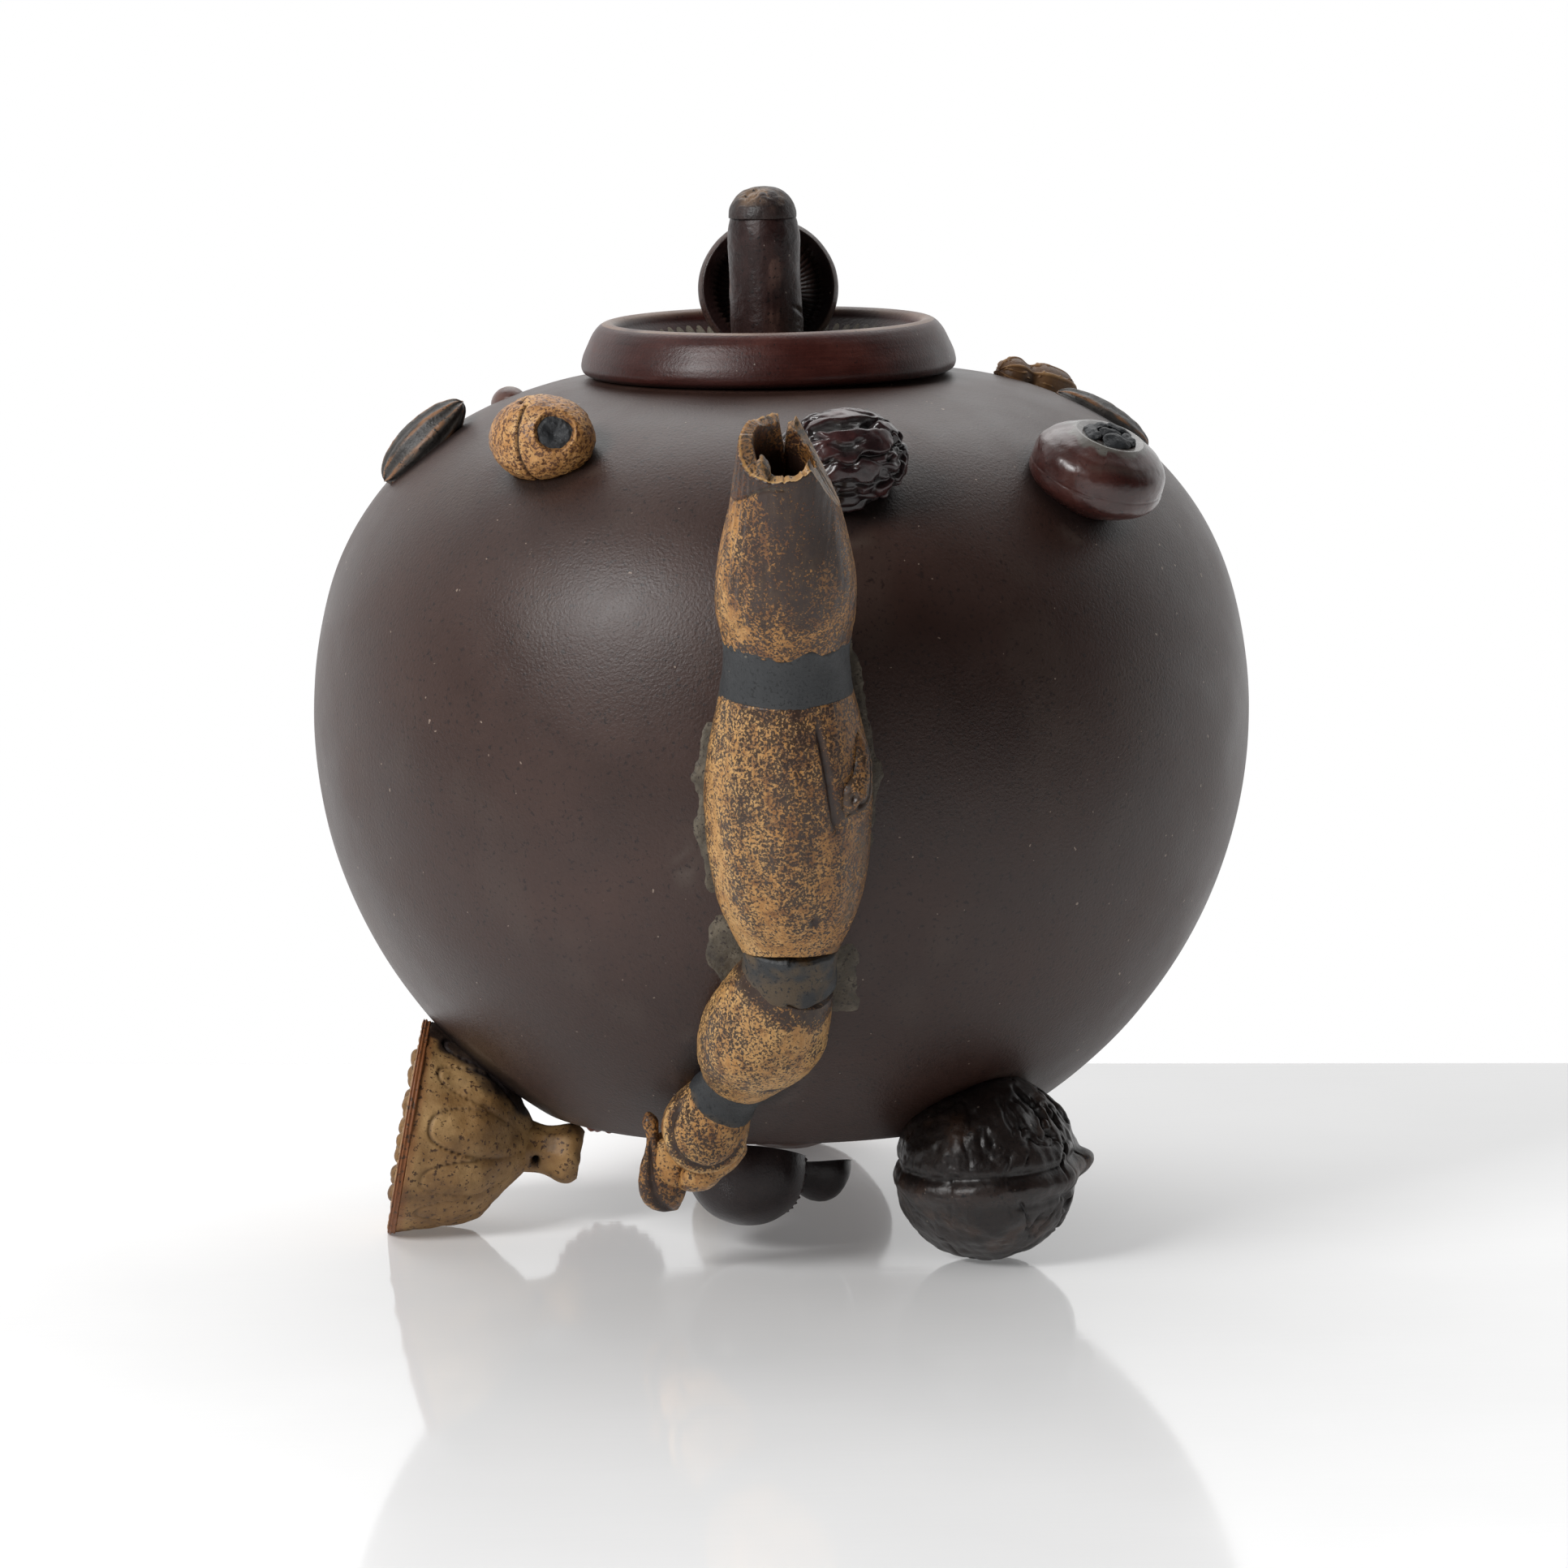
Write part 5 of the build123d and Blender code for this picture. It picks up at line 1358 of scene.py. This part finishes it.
def lid():
    m = 360
    outer = spline_points([(20.9, 99.62), (21.7, 100.1), (21.85, 101.2), (21.3, 102.8), (20.4, 104.55),
                           (19.4, 105.6),
                           (18.6, 105.78), (17.9, 105.35), (17.6, 104.7)], 90)
    dish = spline_points([(17.6, 104.7), (16.6, 103.5), (15.2, 102.0), (13.4, 100.9), (11.0, 100.12),
                          (8.0, 100.1), (4.0, 100.1)], 60)[1:]
    under = [(0.6, 100.1), (0.6, 98.25), (6.0, 98.25), (12.3, 98.25), (12.7, 98.35), (12.75, 99.55),
             (15.0, 99.62), (18.0, 99.62)]
    profile = np.concatenate([outer, dish, under])
    p = turned(profile, LID_X, m)
    kind = np.concatenate([np.zeros(90), np.ones(59), np.full(len(under), 2)])[:, None]
    r, z = profile[:, :1], profile[:, 1:]
    way = p - np.array([LID_X, 0, 0])
    way[..., 2] = 0
    way = way / np.maximum(np.linalg.norm(way, axis=-1, keepdims=True), 1e-6)
    height = np.stack([0 * p[..., 0], 0 * p[..., 0], p[..., 2]], -1)
    wobble = (0.07 * fbm(p, 11, 2, 230) + 0.03 * wave(height, 0.6, 231)) * (kind == 0)
    p = p + way * (wobble - 0.05 * (kind == 0))[..., None]
    worn = bump(z, 105.6, 0.4) * (kind < 2) * (r < 19.4) * step(-0.7, 0.4, wave(p, 5, 232))
    # painted shade along the lid's lower edge, where it sits on the body
    seat_shade = bump(z, 99.6, 0.35) * (kind == 0)
    tone = 0.5 + 0.22 * fbm(p, (9, 9, 2.5), 3, 233) - 0.25 * (kind == 1)
    piece("lid_upturned_cap", [(p, {"tone": tone, "dark": clamp(0.8 * seat_shade), "extra": clamp(0.85 * worn)},
                                True)],
                 ["lid_cap"], LID, "lid")
    k = 110
    s = np.linspace(0, 1, k)
    path = spline_points(DISH, k)
    m = GILL_FINS * 9
    a = around(m)
    top = turned(path, LID_X, m)
    fin = np.abs(np.sin(np.radians(a * GILL_FINS / 2))) ** 1.2
    slope = np.gradient(path, axis=0)
    nr, nz = -slope[:, 1:], slope[:, :1]
    size = np.hypot(nr, nz)
    nr, nz = nr / size, nz / size
    if nz.mean() < 0:
        nr, nz = -nr, -nz
    ang = np.radians(a)
    normal = np.stack([nr * np.cos(ang), nr * np.sin(ang), nz + 0 * ang], -1)
    fade = step(0.02, 0.34, s)[:, None] * (1 - 0.6 * step(0.8, 1.0, s)[:, None])
    hill = (0.04 + 0.26 * fin * fade - 0.08 * (1 - fade) + 0.08 * fbm(top, 1.8, 3, 235) * fade)
    upper = top + normal * hill[..., None]
    lower = top - normal * 0.35
    vent_x, vent_y = LID_X + 7.2, 7.2
    # the vent is a shallow dent painted dark: painted shade standing in for the hole
    holes = bump(np.hypot(upper[..., 0] - vent_x, upper[..., 1] - vent_y), 0, 1.15)
    upper[..., 2] -= 1.1 * clamp(holes * 1.4) ** 3
    ring = np.concatenate([upper, lower[::-1]])
    dark = clamp(0.85 * (1 - fin) ** 1.5 * fade + holes)
    tone = 0.5 + 0.28 * fbm(top, 2.5, 3, 236) + 0.1 * fin
    piece("lid_gill_fins",
          [(ring, {"tone": np.concatenate([tone, tone[::-1]]), "dark": np.concatenate([dark, dark[::-1]])},
            True)], ["lid_gills"], GILL, "lid")
    flange = [(15.0, 99.5), (15.0, 93.1), (14.7, 92.65), (13.2, 92.6), (12.82, 93.0), (12.8, 99.5)]
    band = straight_runs(flange, 14)
    q = turned(band, LID_X, 240)
    q = q + 0.04 * fbm(q, 6, 2, 237)[..., None] * unit(q - np.array([LID_X, 0, 96.0]))
    piece("lid_flange_ring",
          [(q, {"tone": 0.45 + 0.2 * fbm(q, 6, 3, 238), "extra": 0.2 * step(93.6, 92.8, q[..., 2])}, True)],
          ["lid_flange"], LID, "lid_ring")


def knob():
    n, m = 200, 220
    t = np.linspace(0, 1, n)
    z = 99.9 + (118.3 - 99.9) * t
    a = around(m)
    r = curve([0, 0.06, 0.3, 0.7, 0.93, 1], [4.75, 4.4, 4.2, 4.12, 3.98, 3.6], t)[:, None] + 0 * a
    path = np.stack([LID_X + (KNOB_X - LID_X) * t, 0 * t, z], -1)
    p = tube(path, FRONT, r)
    w = turn_gap(a, 0)
    cut = bump(t[:, None], 0.42 - 0.0016 * (w - 40), 0.018) * bump(w, 72, 16)
    facets = 0.10 * np.cos(np.radians(w * 4 + 60 * fbm(p, 8, 2, 240)))
    p = swell(p, facets - 0.06 - 0.30 * cut + 0.07 * fbm(p, 1.6, 3, 241))
    foot = step(0.05, 0.0, t)[:, None]
    piece("knob_post",
          [(p, {"tone": 0.48 + 0.22 * fbm(p, (4, 4, 8), 3, 242) - 0.3 * foot,
                "dark": clamp(0.5 * cut + 0.4 * foot),
                             "extra": clamp(0.5 * step(0.25, 0.7, fbm(p, (2, 2, 4), 3, 243)))})],
          ["knob_stem"], STEM, "lid")
    n = 80
    t = np.linspace(0, 1, n)
    z = 117.7 + (KNOB_TOP_Z - 0.1 - 117.7) * np.sin(pi / 2 * t)
    r = (3.97 * np.cos(pi / 2 * t) ** 0.80)[:, None] + 0 * a
    r = np.maximum(r, 0.05)
    path = np.stack([KNOB_X + 0 * t, 0 * t, z], -1)
    way = spokes(np.array([0, 0, 1.0]), a)
    p = path[:, None, :] + r[..., None] * way
    torn = ridges(p, (2.4, 2.4, 2.4), 3, 244)
    broken = bump(np.linalg.norm((p - np.array([KNOB_X - 0.9, -1.8, 120.6])) / np.array([2.6, 2.4, 1.5]),
                                 axis=-1), 0, 0.75)
    broken = clamp(1.5 * broken + 0.25 * wave(p, 0.9, 247)) * step(118.3, 119.4, p[..., 2])
    p = p + way * (-0.35 * torn * broken + 0.05 * fbm(p, 1.2, 3, 248))[..., None]
    p[..., 2] -= 0.55 * torn * broken
    p[..., 2] = np.minimum(p[..., 2], KNOB_TOP_Z - 0.05)
    piece("knob_root_torn", [(p, {"tone": 0.22 + 0.20 * fbm(p, 1.5, 3, 245) + 0.25 * torn * broken,
                                  "dark": 0.5 * broken * step(0.45, 0.2, torn),
                                  "extra": clamp(0.85 * broken * step(0.15, 0.5, torn))})],
          ["knob_root_end"], ROOT_END, "lid")

    tilt = radians(10.0)
    face = np.array([KNOB_X + 0.5, 5.6, 109.1])
    back = np.array([0, cos(tilt), -sin(tilt)])
    across = np.array([1.0, 0, 0])
    upward = np.cross(back, across)
    depth = np.concatenate([np.linspace(7.15, 0.05, 120), np.linspace(0.0, 4.9, 90)])
    out_r = curve([0, 1.0, 3.2, 5.8, 7.2], [7.75, 8.25, 7.6, 5.2, 0.9], depth[:120])
    in_r = curve([0, 0.4, 2.0, 3.6, 4.9], [7.55, 6.9, 6.1, 4.9, 2.0], depth[120:])
    r = np.concatenate([out_r, in_r])[:, None]
    m = 392
    ang = np.radians(around(m))
    way = np.cos(ang)[..., None] * upward + np.sin(ang)[..., None] * across
    p = face + depth[:, None, None] * back + r[..., None] * way
    inner = (np.arange(210) >= 120)[:, None]
    gill = np.abs(np.sin(ang * 28)) ** 1.2
    fade = step(0.4, 1.4, depth)[:, None] * inner
    lift = np.where(inner, -0.20 * gill * fade, -0.05 + 0.06 * fbm(p, 3, 3, 250))
    p = p + way * lift[..., None]
    tone = np.where(inner, 0.35 + 0.25 * gill * fade, 0.5 + 0.2 * fbm(p, 5, 3, 251))
    grey = np.where(inner, 0.35 * fade, 0.25 * bump(depth[:, None], 0.4, 0.5) + 0 * ang)
    # dark: deeper in the hollow the cap is darkened as painted shade in the hollow; the gill gaps are darker
    # still
    dark = np.where(inner, 0.55 * (1 - gill) * fade + 0.42 * fade, 0)
    piece("knob_small_cap", [(p, {"tone": tone, "dark": clamp(dark), "extra": grey})], ["knob_mushroom_cap"],
          STEM, "lid")
    n = 50
    t = np.linspace(0, 1, n)
    start, end = face + back * (-3.4), face + back * 4.9
    q = tube(line(start, end, n), (0, 0, 1), curve([0, 0.5, 1], [2.0, 1.9, 2.2], t)[:, None]
             + 0 * around(120))
    q = swell(q, 0.07 * fbm(q, 1.4, 3, 252))
    piece("knob_small_stem", [(q, {"tone": 0.3 + 0.2 * fbm(q, 2, 2, 253), "dark": 0.2})],
          ["knob_mushroom_stem"], STEM, "lid")


lid()
knob()

# Table, light and camera


def table():
    """Pale glossy table whose back edge runs a little aslant behind the pot."""
    back, slant, half, front_y = 0.0872, 0.086, 1.4, -1.6
    corners = [(-half, front_y), (half, front_y), (half, back - slant * half), (-half, back + slant * half)]
    top = bmesh.new()
    lower = [top.verts.new((x, y, -0.012)) for x, y in corners]
    upper = [top.verts.new((x, y, 0.0)) for x, y in corners]
    top.faces.new(lower[::-1])
    top.faces.new(upper)
    for k in range(4):
        j = (k + 1) % 4
        top.faces.new((lower[k], lower[j], upper[j], upper[k]))
    mesh = bpy.data.meshes.new("table_top")
    top.to_mesh(mesh)
    top.free()
    obj = bpy.data.objects.new("table_top", mesh)
    bpy.context.scene.collection.objects.link(obj)
    s = Shader("table_finish")
    haze = s.grain(60, 3.0)
    shade = s.ramp(haze, [(0.3, srgb(232, 232, 232)), (0.7, srgb(238, 238, 238))])
    scratches = s.grain(2.2, 1.0, 0.4, where=s.stretched((0.12, 1.0, 1.0)), distortion=1.5)
    mesh.materials.append(s.finish(shade, s.ranged(haze, 0.3, 0.7, 0.05, 0.09), [(scratches, 0.015, 0.3)],
                                   specular=0.24))
    s.bsdf.inputs["Emission Color"].default_value = (1, 1, 1, 1)
    s.bsdf.inputs["Emission Strength"].default_value = 0.12


def lamp(name, at, aim, size, power):
    data = bpy.data.lights.new(name, "AREA")
    data.shape, data.size, data.size_y, data.energy = "RECTANGLE", *size, power
    obj = bpy.data.objects.new(name, data)
    obj.location = at
    obj.rotation_euler = (Vector(aim) - Vector(at)).to_track_quat("-Z", "Y").to_euler()
    bpy.context.scene.collection.objects.link(obj)


def sky():
    """Bright studio wall behind the pot, dimmer room in front of it."""
    world = bpy.data.worlds.new("studio")
    bpy.context.scene.world = world
    world.use_nodes = True
    tree = world.node_tree
    spot = tree.nodes.new("ShaderNodeTexCoord")
    split = tree.nodes.new("ShaderNodeSeparateXYZ")
    fade = tree.nodes.new("ShaderNodeMapRange")
    fade.interpolation_type = "SMOOTHSTEP"
    fade.inputs["From Min"].default_value = -0.15
    fade.inputs["From Max"].default_value = 0.52
    fade.inputs["To Min"].default_value = 0.02
    fade.inputs["To Max"].default_value = 1.0
    tree.links.new(spot.outputs["Generated"], split.inputs[0])
    tree.links.new(split.outputs["Y"], fade.inputs["Value"])
    tree.links.new(fade.outputs["Result"], tree.nodes["Background"].inputs["Strength"])
    tree.nodes["Background"].inputs["Color"].default_value = (1, 1, 1, 1)


table()
sky()
lamp("key", (-0.60, -0.58, 0.62), (0, 0, 0.06), (0.38, 0.38), 7.9)
lamp("top", (0.0, 0.75, 1.10), (0, -0.1, 0.0), (1.3, 0.9), 6.0)

lens = bpy.data.cameras.new("camera")
lens.lens, lens.sensor_width, lens.clip_start, lens.clip_end = 150.93, 36.0, 0.01, 20.0
camera = bpy.data.objects.new("camera", lens)
camera.location = (0.00014, -0.766, 0.1695)
PITCH, ROLL = radians(8.8), radians(-1.0)
aimed = Euler((pi / 2 - PITCH, 0, 0)).to_matrix() @ Euler((0, 0, ROLL)).to_matrix()
camera.rotation_euler = aimed.to_euler()
bpy.context.scene.collection.objects.link(camera)
bpy.context.scene.camera = camera
bpy.context.scene.view_settings.view_transform = "Standard"
